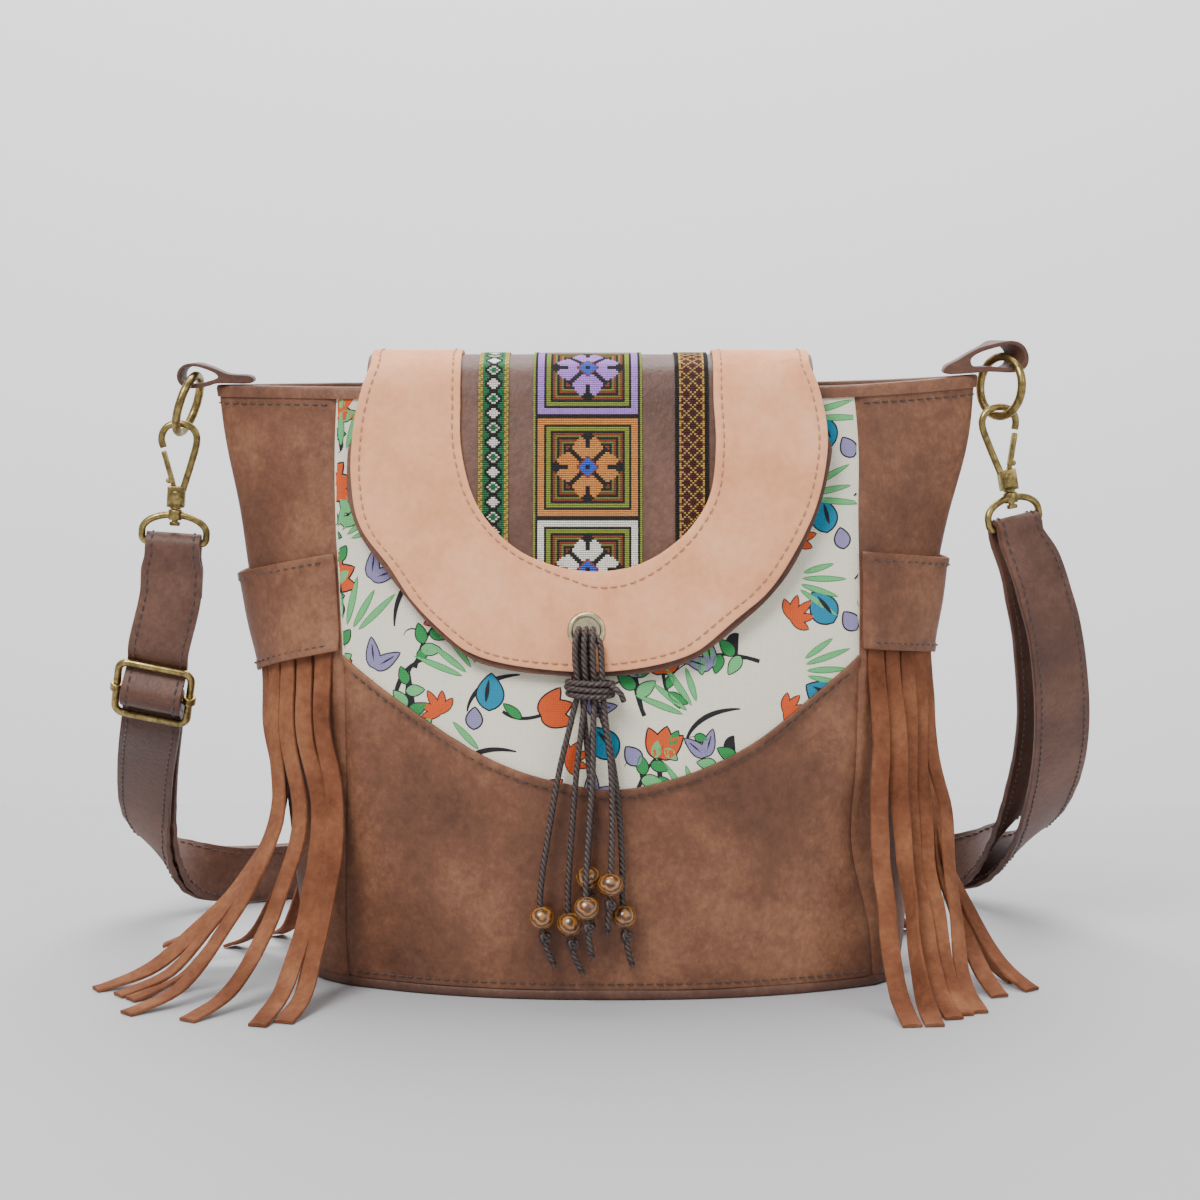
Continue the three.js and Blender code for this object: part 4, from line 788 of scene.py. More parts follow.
canvas = grid_piece("printed_canvas", 90, 60, canvas_place)
apply_modifier(canvas, "SOLIDIFY", thickness=WALL * MM, offset=-1)
for loop in canvas.data.loops:
    point = canvas.data.vertices[loop.vertex_index].co / MM
    canvas.data.uv_layers["UVMap"].data[loop.index].uv = (point.x, point.z)
hand_over(canvas, CANVAS, ["front_canvas_panel"])
print("body panels:", len(lower_panel.data.polygons), "faces in the lower one")

# %% [markdown]
# ## Base, rim and side bands
# The base is a flat plate with a rolled edge. The rim is a leather binding folded over the wall's top. A band
# of leather runs round each gusset, and its top and bottom edges are turned in and sewn.


# %% Base and rim
def around(name, rings, material, node, close=True, count=160):
    """A closed band round the whole body; each ring pairs a height with a distance out."""
    points, faces = [], []
    places = [LOOP * i / count for i in range(count)]
    for height, out in rings:
        points += [body_point(place, height, out) for place in places]
    total = len(rings)
    for ring in range(total if close else total - 1):
        for i in range(count):
            a, b = ring * count + i, ring * count + (i + 1) % count
            shift = ((ring + 1) % total - ring) * count
            faces.append((a, b, b + shift, a + shift))
    if not close:
        faces.append(tuple(reversed(range(count))))
        faces.append(tuple(range((total - 1) * count, total * count)))
    piece = turn_outward(mesh_piece(name, points, faces))
    return hand_over(piece, material, [node], smooth_angle=50)


around("base_leather", [(0, -1.6), (0.5, -0.5), (1.6, 0.1), (3.6, 0.1), (4.5, -0.6), (4.5, -4)], EDGE_LEATHER,
       "base_panel", close=False)
RIM_SECTION = [(245, 0.75), (248.6, 0.85), (249.7, 0.4), (250, -0.8), (249.7, -2.2), (248.6, -2.7),
               (245, -2.6)]
around("rim_binding_leather", RIM_SECTION, LEATHER, "rim_binding")

# %% Side bands
BAND_GAP, BAND_THICKNESS = 2.4, 1.8
LEFT_BAND = {"ridge": LEFT_RIDGE, "front": 1, "top": (0.728, 0.682), "bottom": (0.568, 0.516)}
RIGHT_BAND = {"ridge": RIGHT_RIDGE, "front": -1, "top": (0.731, 0.706), "bottom": (0.571, 0.547)}


def band_edge(side, edge, place):
    turn = abs(place - side["ridge"]) / 4
    return (side[edge][1] + (side[edge][0] - side[edge][1]) * turn) * BODY_HEIGHT


def side_band(name, side, node):
    span = (side["ridge"] - 4, side["ridge"] + 4)

    def place_at(u, v):
        place = span[0] + 8 * u
        low, high = band_edge(side, "bottom", place), band_edge(side, "top", place)
        z = low + (high - low) * v
        tuck = max(0, 1 - min(u, 1 - u) * 94 / 5) ** 1.5
        hem = 0.5 * (max(0, 1 - min(v, 1 - v) * (high - low) / 4) > 0)
        base = body_point(place, z, 0, span)
        out = BAND_GAP + BAND_THICKNESS - 3.2 * tuck + hem + slack(*base, 24, 0.9)
        return body_point(place, z, out, span, reach=0.6)

    piece = grid_piece(name, 64, 28, place_at)
    apply_modifier(piece, "SOLIDIFY", thickness=BAND_THICKNESS * MM, offset=-1)
    soften_edges(piece, 0.5)
    hand_over(piece, LEATHER, [node], smooth_angle=60)
    rows = []
    for edge, inset in (("top", -3), ("bottom", 3)):
        places = spread(span[0] + 0.3, span[1] - 0.3, 60)
        rows.append(body_row(places, lambda place, e=edge, i=inset: band_edge(side, e, place) + i,
                             BAND_GAP + BAND_THICKNESS + 0.35, span))
    sew(name + "_thread", rows)


side_band("left_band_leather", LEFT_BAND, "left_side_band")
side_band("right_band_leather", RIGHT_BAND, "right_side_band")
yoke_row = body_row(spread(0.25, 11.75, 160), lambda place: yoke_height(place) - 1.4, 1.1, FRONT)
rim_rows = [body_row(spread(low + 0.2, high - 0.2, 60), lambda place: 242.4, 0.15, (low, high))
            for low, high in (RIGHT, LEFT, BACK)]
base_row = body_row(spread(0.2, 11.8, 160), lambda place: 7.2, 0.35, FRONT)
sew("body_thread", [yoke_row, base_row, *rim_rows])
print("bands and seams sewn")

# %% [markdown]
# ## Fringes
# Each fringe is one piece of suede cut into strips eight millimetres wide and sewn in behind the side band.
# Every strip hangs down, bends near the ground and runs out along it. The routes are the solids' own, and
# a strip curls a little across its width as a cut edge dries.

# %% Fringe strips
STRIP_WIDTH, STRIP_THICKNESS, HEAD_HEIGHT, HEAD_SKIN = 8, 1, 9, 1.1
# Columns: place round the gusset; knee x, y, z and tip x, y from the ridge's foot; raise; twist in degrees.
LEFT_STRIPS = [
    (-0.86, -15, -44, 66, 2, -94, 0, 0), (-0.68, -8, -40, 62, 12, -99, 0, 0),
    (-0.49, 2, -36, 62, 41, -91, 0, 0),
    (-0.3, 12, -30, 66, 67, -80, 0, 0), (-0.1, 14, -18, 60, 69, -57, 0, 30),
    (0.1, 18, -12, 58, 75, -50, 0, 0),
    (0.29, 20, -6, 52, 86, -40, 0, -30), (0.46, 20, 6, 50, 64, 8, 8, 0), (0.62, 8, 14, 48, 40, 40, 0, 0),
    (0.76, 0, 30, 52, 22, 62, 0, 0), (0.9, -10, 40, 56, 6, 76, 0, 0),
]
RIGHT_STRIPS = [
    (-0.86, -12, -46, 52, -4, -100, 0, 0), (-0.68, -2, -42, 56, 5, -99, 0, 70),
    (-0.49, 3, -36, 50, 14, -88, 0, 0),
    (-0.3, 9, -30, 54, 19, -82, 0, 0), (-0.1, 18, -24, 62, 25, -78, 0, -36), (0.1, 20, -8, 40, 37, -52, 0, 0),
    (0.29, 22, -6, 44, 52, -41, 0, 0), (0.47, 20, 4, 44, 46, -28, 0, 0), (0.66, 6, 24, 50, 24, 50, 0, 0),
    (0.86, -6, 40, 56, 10, 74, 0, 0),
]


def smoothstep(value, low, high):
    t = min(max((value - low) / (high - low), 0), 1)
    return t * t * (3 - 2 * t)


def strap_points(stations, width, thickness, edge=0.35, curl=0.0):
    """Rings of a flat band with softened edges through stations of a point, a side and an up direction."""
    outline = [(-0.5, -0.5 + edge), (-0.5 + 0.4 * edge * thickness / width, -0.5), (0, -0.5),
               (0.5 - 0.4 * edge * thickness / width, -0.5), (0.5, -0.5 + edge), (0.5, 0.5 - edge),
               (0.5 - 0.4 * edge * thickness / width, 0.5), (0, 0.5),
               (-0.5 + 0.4 * edge * thickness / width, 0.5), (-0.5, 0.5 - edge)]
    points, faces, places, reach = [], [], [], 0.0
    for i, (at, side, up, wide) in enumerate(stations):
        reach += (at - stations[i - 1][0]).length if i else 0
        for across, high in outline:
            bow = curl * (4 * across * across - 0.33)
            points.append(at + side * across * wide + up * (high * thickness + bow))
            places.append((across * wide, reach))
    sides = len(outline)
    for i in range(len(stations) - 1):
        for j in range(sides):
            a, b = i * sides + j, i * sides + (j + 1) % sides
            faces.append((a, b, b + sides, a + sides))
    faces.append(tuple(reversed(range(sides))))
    faces.append(tuple(range((len(stations) - 1) * sides, len(stations) * sides)))
    return points, faces, places


def framed(centres, acrosses, widths):
    """Stations with side and up directions square to the way along."""
    stations = []
    for i, at in enumerate(centres):
        ahead = (centres[min(i + 1, len(centres) - 1)] - centres[max(i - 1, 0)]).normalized()
        side = (acrosses[i] - ahead * acrosses[i].dot(ahead)).normalized()
        stations.append((at, side, side.cross(ahead), widths[i]))
    return stations


def strip_stations(side, out, row):
    turn, knee_x, knee_y, knee_z, tip_x, tip_y, up, twist = row
    span = (side["ridge"] - 4, side["ridge"] + 4)
    place = side["ridge"] - side["front"] * turn * 4
    foot = body_point(side["ridge"], 0, 0).x
    z = band_edge(side, "bottom", place)
    top = body_point(place, z + HEAD_HEIGHT / 2, HEAD_SKIN, span)
    under = body_point(place, z - 2, HEAD_SKIN + 0.3, span)
    below = body_point(place, z - 20, HEAD_SKIN + 2.5, span)
    knee = Vector((foot + out * knee_x, knee_y, knee_z))
    tip = Vector((foot + out * tip_x, tip_y, STRIP_THICKNESS / 2 + up))
    sole = knee.lerp(tip, 0.62)
    sole.z = 9 + up
    route = Route([top, under, below, knee, sole, tip])
    first = (body_point(place + 0.3, z, 1, span) - body_point(place - 0.3, z, 1, span)).normalized()
    last = Vector((-(tip.y - knee.y), tip.x - knee.x, 0)).normalized()
    if last.dot(first) < 0:
        last.negate()
    centres, acrosses, widths = [], [], []
    for share in route.evenly(4):
        at, ahead = route.at(share), route.along(share)
        across = first.lerp(last, smoothstep(share, 0, 0.9))
        turned = math.sin(math.pi * min(max(share * 1.6 - 0.6, 0), 1)) ** 2
        across = Matrix.Rotation(math.radians(twist) * turned, 3, ahead) @ across
        free = smoothstep(share, 0.15, 0.6) * (1 - smoothstep(share, 0.8, 1))
        sway = Vector((noise.noise(at / 30), noise.noise(at / 30 + Vector((7, 3, 1))), 0)) * 2.2 * free
        at = at + sway
        at.z = max(at.z, 1.05)
        centres.append(at)
        acrosses.append(across)
        widths.append(STRIP_WIDTH * (1 + 0.06 * noise.noise(at / 9)))
    return framed(centres, acrosses, widths)


def fringe(name, side, out, table, node):
    points, faces, places = [], [], []
    for row in table:
        stations = strip_stations(side, out, row)
        made, linked, mapped = strap_points(stations, STRIP_WIDTH, STRIP_THICKNESS + 0.3, curl=0.5)
        faces += [tuple(len(points) + i for i in face) for face in linked]
        points += made
        places += mapped
    piece = turn_outward(mesh_piece(name, points, faces, places))
    return hand_over(piece, SUEDE, [node], smooth_angle=50)


fringe("left_suede_fringe", LEFT_BAND, -1, LEFT_STRIPS, "left_fringe")
fringe("right_suede_fringe", RIGHT_BAND, 1, RIGHT_STRIPS, "right_fringe")
print("strips cut:", len(LEFT_STRIPS) + len(RIGHT_STRIPS))

# %% [markdown]
# ## The canvas print
# The print is drawn as flat shapes in the plane of the front, in millimetres, and each shape is then laid on
# the canvas a hair above it: dark outlines lowest, the coloured fill over them, small details on top. Five
# small motifs (a leaf sprig, blades of grass, a tulip, a pair of petals and a pebble) are turned, mirrored
# and scattered over the panel in staggered rows.

# %% Print shapes
INKS = {name: woven_canvas(f"{name}_ink", code, 0.7) for name, code in {
    "outline": "#2b2a2c", "leaf": "#6fbf7b", "stem": "#35914f", "orange": "#d95b2e", "teal": "#2187a8",
    "lilac": "#9189b3"}.items()}
print_shapes = {name: [] for name in INKS}


def turned(points, at, degrees, size=1.0, mirror=False):
    """Points turned about the origin, scaled and moved to a place."""
    turn = math.radians(degrees)
    flip = -1 if mirror else 1
    return [(at[0] + size * (flip * x * math.cos(turn) - z * math.sin(turn)),
             at[1] + size * (flip * x * math.sin(turn) + z * math.cos(turn))) for x, z in points]


def petal_shape(length, width, tip=0.6, steps=14):
    """A leaf or petal along +z from the origin; tip moves its widest place."""
    line = []
    for i in range(steps + 1):
        share = i / steps
        line.append((width / 2 * math.sin(math.pi * share ** tip) ** 0.85, length * share))
    return line + [(-x, z) for x, z in line[-2:0:-1]]


def grown(points, by):
    """A closed outline moved outward by a distance."""
    count = len(points)
    area = sum(points[i][0] * points[(i + 1) % count][1] - points[(i + 1) % count][0] * points[i][1]
               for i in range(count))
    sign = 1 if area > 0 else -1
    moved = []
    for i in range(count):
        (x0, z0), (x1, z1), (x2, z2) = points[i - 1], points[i], points[(i + 1) % count]
        ahead = Vector((x2 - x0, z2 - z0)).normalized()
        moved.append((x1 + ahead.y * by * sign, z1 - ahead.x * by * sign))
    return moved


def ribbon_shape(line, widths):
    """A stroke along a line whose width changes from point to point."""
    left, right = [], []
    for i, (x, z) in enumerate(line):
        before, after = line[max(i - 1, 0)], line[min(i + 1, len(line) - 1)]
        ahead = Vector((after[0] - before[0], after[1] - before[1])).normalized()
        left.append((x - ahead.y * widths[i] / 2, z + ahead.x * widths[i] / 2))
        right.append((x + ahead.y * widths[i] / 2, z - ahead.x * widths[i] / 2))
    return left + right[::-1]


def ink(name, points, level):
    print_shapes[name].append((points, level))


def filled(name, points, rim=0.55):
    ink("outline", grown(points, rim), 1)
    ink(name, points, 2)


def curl(length, bend, steps=14):
    """A line that starts along +z and bends more and more."""
    x = z = turn = 0.0
    line = [(0.0, 0.0)]
    for i in range(steps):
        turn += math.radians(bend) * (0.4 + 1.2 * i / steps) / steps
        x += math.sin(turn) * length / steps
        z += math.cos(turn) * length / steps
        line.append((x, z))
    return line


def sprig(at, turn, size, mirror):
    """A curved dark stem with seven lobed leaves and a tendril."""
    stem = curl(34, 70)
    widths = [1.5 - 0.09 * i for i in range(len(stem))]
    ink("outline", turned(ribbon_shape(stem, widths), at, turn, size, mirror), 1)
    for i, lean in ((3, 62), (4, -48), (6, 66), (7, -44), (9, 72), (10, -36), (14, 20)):
        x, z = stem[i]
        leaf = petal_shape(8.4 - 0.25 * i, 4.6 - 0.12 * i, 0.75)
        placed_leaf = turned(turned(leaf, (x, z), -lean - 70 * i / 14), at, turn, size, mirror)
        filled("leaf" if i % 2 else "stem", placed_leaf, 0.42)
    tendril = curl(17, -210, 20)
    widths = [1.3 - 0.055 * i for i in range(len(tendril))]
    ink("outline", turned(ribbon_shape(turned(tendril, stem[2], -28), widths), at, turn, size, mirror), 1)


def blades(at, turn, size, mirror):
    for lean, length, shift in ((-26, 12, -3.4), (-9, 17, -1.2), (8, 15, 1.2), (24, 18, 3.2)):
        blade = turned(petal_shape(length, 1.9, 0.9), (shift, 0), -lean)
        placed_blade = turned(blade, at, turn, size, mirror)
        ink("stem", grown(placed_blade, 0.3), 1)
        ink("leaf", placed_blade, 2)


def rays(at, turn, size, mirror):
    for i in range(5):
        ray = turned(petal_shape(9.5 - 1.2 * abs(i - 2), 2.7, 1.1), (0, 0), -68 + 34 * i)
        filled("orange", turned(ray, at, turn, size, mirror), 0.4)


def tulip(at, turn, size, mirror, cup="orange"):
    for lean, wide in ((34, 6.2), (-34, 6.2), (0, 7.2)):
        filled(cup, turned(turned(petal_shape(11.5, wide, 0.7), (0, 0), lean), at, turn, size, mirror), 0.6)
    stalk = curl(15, 60)
    stroke = ribbon_shape(turned(stalk, (0, 0.8), 180), [1.2] * len(stalk))
    ink("outline", turned(stroke, at, turn, size, mirror), 1)
    filled("stem", turned(turned(petal_shape(8, 3, 0.8), (-1.4, -7), 120), at, turn, size, mirror), 0.4)


def pebbles(at, turn, size, mirror):
    for shift, length, wide, name in (((0, 0), 13, 9.6, "teal"), ((8.6, 2.4), 7.6, 5.6, "lilac")):
        filled(name, turned(turned(petal_shape(length, wide, 0.8), shift, 70), at, turn, size, mirror), 0.6)
    crescent = turned(petal_shape(8.4, 1.5, 0.9), (-2.0, 2.2), 74)
    ink("outline", turned(crescent, at, turn, size, mirror), 3)


def twin_petals(at, turn, size, mirror):
    for lean in (38, -26):
        outline = turned(petal_shape(10.5, 4.6, 0.65), (0, 0), lean)
        filled("lilac", turned(outline, at, turn, size, mirror), 0.5)
        vein = turned([(0, 2), (0.3, 5), (0.15, 8), (-0.15, 8), (-0.3, 5)], (0, 0), lean)
        ink("outline", turned(vein, at, turn, size, mirror), 3)


def wisp(at, turn, size, mirror):
    line = curl(24, -80, 18)
    widths = [0.5 + 1.3 * math.sin(math.pi * i / (len(line) - 1)) for i in range(len(line))]
    ink("outline", turned(ribbon_shape(line, widths), at, turn, size, mirror), 1)


# %% Scatter the motifs
MOTIFS = [sprig, pebbles, blades, tulip, wisp, twin_petals, rays]
COLUMN_STEP, ROW_STEP = 20, 17.5
PRINT_LEFT, PRINT_RIGHT, PRINT_BOTTOM, PRINT_TOP = -124, 128, 84, 252
row_number, z = 0, PRINT_BOTTOM
while z < PRINT_TOP:
    x = PRINT_LEFT + (row_number % 2) * COLUMN_STEP / 2
    number = 0
    while x < PRINT_RIGHT:
        kind = MOTIFS[(3 * row_number + number * 2 + row_number // 2) % len(MOTIFS)]
        drift = noise.noise(Vector((x / 9, z / 9, 2.5)))
        place = (x + 5 * drift, z + 4 * noise.noise(Vector((z / 7, x / 7, 6.5))))
        kind(place, 50 * drift + 37 * (number % 5) - 70, 1.16 + 0.14 * drift, (row_number + number) % 2 == 0)
        x += COLUMN_STEP
        number += 1
    row_number += 1
    z += ROW_STEP
print("shapes drawn:", sum(len(shapes) for shapes in print_shapes.values()))


# %% Lay the print on the canvas
CANVAS_LIFTS = {1: 0.10, 2: 0.17, 3: 0.24}
canvas_columns = {}


def canvas_table(z):
    """Places and x positions along one height of the canvas, kept for the next point at that height."""
    key = round(z)
    if key not in canvas_columns:
        places = spread(0, 12, 36)
        canvas_columns[key] = [(body_point(place, key, 0, FRONT).x, place) for place in places]
    return canvas_columns[key]


def place_in_row(row, x):
    for (x0, place0), (x1, place1) in zip(row, row[1:]):
        if x <= x1:
            return place0 + (place1 - place0) * (x - x0) / (x1 - x0)
    return 12.0


def canvas_point(x, z, lift):
    """A point of the canvas's surface under x and z."""
    row = canvas_table(z)
    i = 0
    while i < len(row) - 2 and row[i + 1][0] < x:
        i += 1
    share = (x - row[i][0]) / (row[i + 1][0] - row[i][0])
    place = min(max(row[i][1] + share * (row[i + 1][1] - row[i][1]), 0.02), 11.98)
    at = body_point(place, z, -0.25 - seam_dip(place / 12, 216, 1.0) + lift, FRONT)
    return Vector((x, at.y, z))


def lay(name, shapes):
    """Cuts flat shapes into small cells, drops what lies off the canvas and lays the rest on it."""
    shell = bmesh.new()
    for points, level in shapes:
        if max(z for x, z in points) > WALL_TOP - 1:
            continue
        corners = [shell.verts.new((x, level, z)) for x, z in points]
        shell.faces.new(corners)
    bmesh.ops.triangulate(shell, faces=shell.faces[:], ngon_method="EAR_CLIP")

    def cut_plane(at, direction):
        bmesh.ops.bisect_plane(shell, geom=shell.verts[:] + shell.edges[:] + shell.faces[:], plane_co=at,
                               plane_no=direction, dist=1e-5)

    for i in range(-21, 23):
        cut_plane((i * 5.5, 0, 0), (1, 0, 0))
    for i in range(10, 32):
        cut_plane((0, 0, i * 8), (0, 0, 1))
    gone = []
    for face in shell.faces:
        middle = face.calc_center_median()
        row = canvas_table(middle.z)
        place = place_in_row(row, middle.x)
        if not row[0][0] + 1.2 < middle.x < row[-1][0] - 1.2 or middle.z < yoke_height(place) - 1.5:
            gone.append(face)
    bmesh.ops.delete(shell, geom=gone, context="FACES")
    spread_map = shell.loops.layers.uv.new("UVMap")
    for face in shell.faces:
        for loop in face.loops:
            loop[spread_map].uv = (loop.vert.co.x, loop.vert.co.z)
    for vert in shell.verts:
        vert.co = canvas_point(vert.co.x, vert.co.z, CANVAS_LIFTS[round(vert.co.y)]) * MM
    mesh = bpy.data.meshes.new(f"print_{name}")
    shell.normal_update()
    for face in shell.faces:
        if face.normal.y > 0:
            face.normal_flip()
    shell.to_mesh(mesh)
    shell.free()
    piece = bpy.data.objects.new(f"print_{name}", mesh)
    bpy.context.collection.objects.link(piece)
    hand_over(piece, INKS[name])
    return len(mesh.polygons)


laid = {name: lay(name, shapes) for name, shapes in print_shapes.items()}
print("print laid:", laid)

# %% [markdown]
# ## The flap
# The flap is sewn to the back, bends over the mouth and ends in a rounded tongue. Its shape is one profile
# in side view, swept across the bag and bowed with the front. Everything that lies on the flap uses the same
# two numbers: x across, and the share of the way along the profile.

# %% Flap surface
# Columns: depth as a share of the base's half depth; height as a share of the body's height; share of
# roundness.
FLAP_PROFILE = [
    (0.665, 0.85, -0.6), (0.575, 0.94, -0.6), (0.5, 1.0, -0.4), (0.4, 1.027, -0.2), (0.2, 1.041, 0),
    (-0.05, 1.045, 0), (-0.28, 1.041, 0), (-0.43, 1.028, 0.2), (-0.52, 1.003, 0.4), (-0.58, 0.96, 0.55),
    (-0.68, 0.88, 0.6), (-0.77, 0.78, 0.6), (-0.875, 0.66, 0.6), (-0.945, 0.58, 0.6), (-0.975, 0.53, 0.6),
]
# Columns: share of the body's height; left and right edge as shares of the rim's half width.
FLAP_OUTLINE = [
    (1.05, 0.603, 0.552), (0.976, 0.634, 0.584), (0.912, 0.649, 0.6), (0.864, 0.653, 0.59),
    (0.816, 0.649, 0.571), (0.76, 0.618, 0.536), (0.704, 0.552, 0.489), (0.656, 0.492, 0.426),
    (0.62, 0.442, 0.36), (0.588, 0.385, 0.297), (0.56, 0.315, 0.227), (0.546, 0.227, 0.151),
    (0.538, 0.101, 0.05),
]
# Columns: outer x, outer height, inner x, inner height, from the left end of the U to the right one.
OVERLAY_U = [
    (-0.624, 0.976, -0.36, 0.976), (-0.64, 0.912, -0.357, 0.9), (-0.642, 0.85, -0.33, 0.83),
    (-0.622, 0.78, -0.284, 0.781), (-0.536, 0.704, -0.214, 0.74), (-0.432, 0.622, -0.126, 0.715),
    (-0.3, 0.566, -0.06, 0.706), (-0.1, 0.546, -0.014, 0.704), (0.045, 0.546, 0.036, 0.706),
    (0.212, 0.567, 0.098, 0.715), (0.346, 0.625, 0.172, 0.74), (0.473, 0.704, 0.24, 0.78),
    (0.553, 0.8, 0.284, 0.83), (0.587, 0.9, 0.298, 0.9), (0.574, 0.976, 0.293, 0.976),
]
FLAP_SHEET = 1.4
FLAP_LAST = len(FLAP_PROFILE) - 1
FLAP_FRONT = 8 / FLAP_LAST
ALONG_SCALE = 200
flap_route = Route([(0, row[0] * BASE_HALF_DEPTH, row[1] * BODY_HEIGHT) for row in FLAP_PROFILE])
flap_bows = [(i / FLAP_LAST, row[2]) for i, row in enumerate(FLAP_PROFILE)]


def flap_point(x, along, lift):
    at, ahead = flap_route.at(along), flap_route.along(along)
    left, seam_left, seam_right, right, front, seam, back, full = section(min(at.z, BODY_HEIGHT))
    bow = smooth_read(flap_bows, along, 1) * (front - seam) * (abs(x) / seam_right) ** 2.4
    return Vector((x, at.y + bow + ahead.z * lift, at.z - ahead.y * lift))


def front_place(height):
    """The share along the flap's front at a height in millimetres."""
    low, high = FLAP_FRONT, 1.0
    for _ in range(24):
        middle = (low + high) / 2
        low, high = (middle, high) if flap_route.at(middle).z > height else (low, middle)
    return (low + high) / 2


def flap_sheet(name, stations, lift, thickness, across, material, node, map_size):
    """A sheet on the flap; each station pairs an x and a share along at both of its ends."""
    def place_at(u, v):
        (x0, along0), (x1, along1) = stations(v)
        return flap_point(x0 + (x1 - x0) * u, along0 + (along1 - along0) * u, lift + thickness)

    piece = grid_piece(name, across, map_size[2], place_at, map_size[:2])
    if piece.data.polygons[0].normal.dot(Vector((0, 0.5, 0.85))) < 0:
        piece.data.flip_normals()
    apply_modifier(piece, "SOLIDIFY", thickness=thickness * MM, offset=-1)
    soften_edges(piece, 0.35)
    return hand_over(piece, material, [node], smooth_angle=55)


edge_route = Route([(-left * RIM_HALF_WIDTH, height * BODY_HEIGHT, right * RIM_HALF_WIDTH)
                    for height, left, right in FLAP_OUTLINE[1:]])


def backing_station(v):
    """The flap's left and right edge, from its sewn end down to the tip of the tongue."""
    turn = FLAP_FRONT + 0.02
    if v < 0.5:
        along = 2 * v * turn
        return ((-FLAP_OUTLINE[0][1] * RIM_HALF_WIDTH, along), (FLAP_OUTLINE[0][2] * RIM_HALF_WIDTH, along))
    left, height, right = edge_route.at(2 * v - 1)
    blend = smoothstep(v, 0.5, 0.56)
    left = left * blend - FLAP_OUTLINE[0][1] * RIM_HALF_WIDTH * (1 - blend)
    right = right * blend + FLAP_OUTLINE[0][2] * RIM_HALF_WIDTH * (1 - blend)
    along = max(turn, front_place(height))
    return ((left, along), (right, along))


backing = flap_sheet("flap_leather", backing_station, 0, FLAP_SHEET, 60, STRAP_LEATHER, "flap_backing",
                     (200, 240, 140))

arm_places = [i / FLAP_LAST for i in range(0, 8)]
NARROW = 1.3
outer_left, outer_right = (-FLAP_OUTLINE[0][1] * RIM_HALF_WIDTH + NARROW,
                           FLAP_OUTLINE[0][2] * RIM_HALF_WIDTH - NARROW)


def overlay_line(column, left, right):
    """One edge of the overlay: an arm over the mouth, the U and the other arm, as x and scaled place."""
    u_line = [(row[column] * RIM_HALF_WIDTH, 0, front_place(row[column + 1] * BODY_HEIGHT) * ALONG_SCALE)
              for row in OVERLAY_U]
    arms = [[(x, 0, along * ALONG_SCALE) for along in arm_places] for x in (left, right)]
    return arms[0] + u_line + arms[1][::-1]


outer_line = overlay_line(0, outer_left, outer_right)
inner_line = overlay_line(2, OVERLAY_U[0][2] * RIM_HALF_WIDTH, OVERLAY_U[-1][2] * RIM_HALF_WIDTH)
outer_route, inner_route = Route(outer_line), Route(inner_line)


def overlay_station(v):
    outer, inner = outer_route.at(v), inner_route.at(v)
    return ((outer.x, outer.z / ALONG_SCALE), (inner.x, inner.z / ALONG_SCALE))


OVERLAY_LIFT = FLAP_SHEET + 0.05
OVERLAY_DEPTH = 1.85
overlay = flap_sheet("nubuck_overlay", overlay_station, OVERLAY_LIFT, OVERLAY_DEPTH, 22, NUBUCK,
                     "flap_overlay", (50, 520, 260))


def flap_row(station, inset, count=200, lift=OVERLAY_LIFT + OVERLAY_DEPTH + 0.1):
    """Stitches on the overlay, a fixed distance inside its outer or inner edge."""
    points, outward = [], []
    for i in range(count + 1):
        (x0, a0), (x1, a1) = station(0.06 + 0.88 * i / count)
        width = math.hypot(x1 - x0, (a1 - a0) * ALONG_SCALE)
        share = inset / width if inset > 0 else 1 + inset / width
        x, along = x0 + (x1 - x0) * share, a0 + (a1 - a0) * share
        at = flap_point(x, along, lift)
        points.append(at)
        outward.append((flap_point(x, along, lift + 1) - at).normalized())
    return stitch_row(points, outward)


sew("overlay_thread", [flap_row(overlay_station, 3.6), flap_row(overlay_station, -3.2)], TAN_THREAD)
print("flap sheets made")

# %% [markdown]
# ## Embroidery and ribbons
# The bands are counted work: every stitch fills one cell of a grid, so each band is a grid of small raised
# cells. A chart gives the colour of a cell from its distance to the middle of the pattern. The centre band
# repeats an eight-petalled star in a square frame, the left ribbon has small diamonds and the right one a
# lattice in metal thread.

# %% Counted bands
CELL = 0.873
DYES = {name: colour(code) for name, code in {
    "black": "#17130f", "purple": "#b98be0", "orange": "#d98f45", "white": "#f1ede2", "green": "#8c9a34",
    "rust": "#8e3a22", "olive": "#77802e", "blue": "#2f5fd0", "gold": "#c9a750", "maroon": "#4e161a",
    "emerald": "#1f7a4a", "brown": "#6b4530"}.items()}
FRAME_DYES = ["purple", "orange", "white"]
SQUARE_ROWS = 48
SQUARE_BOTTOM_HEIGHT = 196.2


CORNER_DYES = {16: "rust", 15: "olive", 13: "rust", 12: "olive", 10: "rust"}


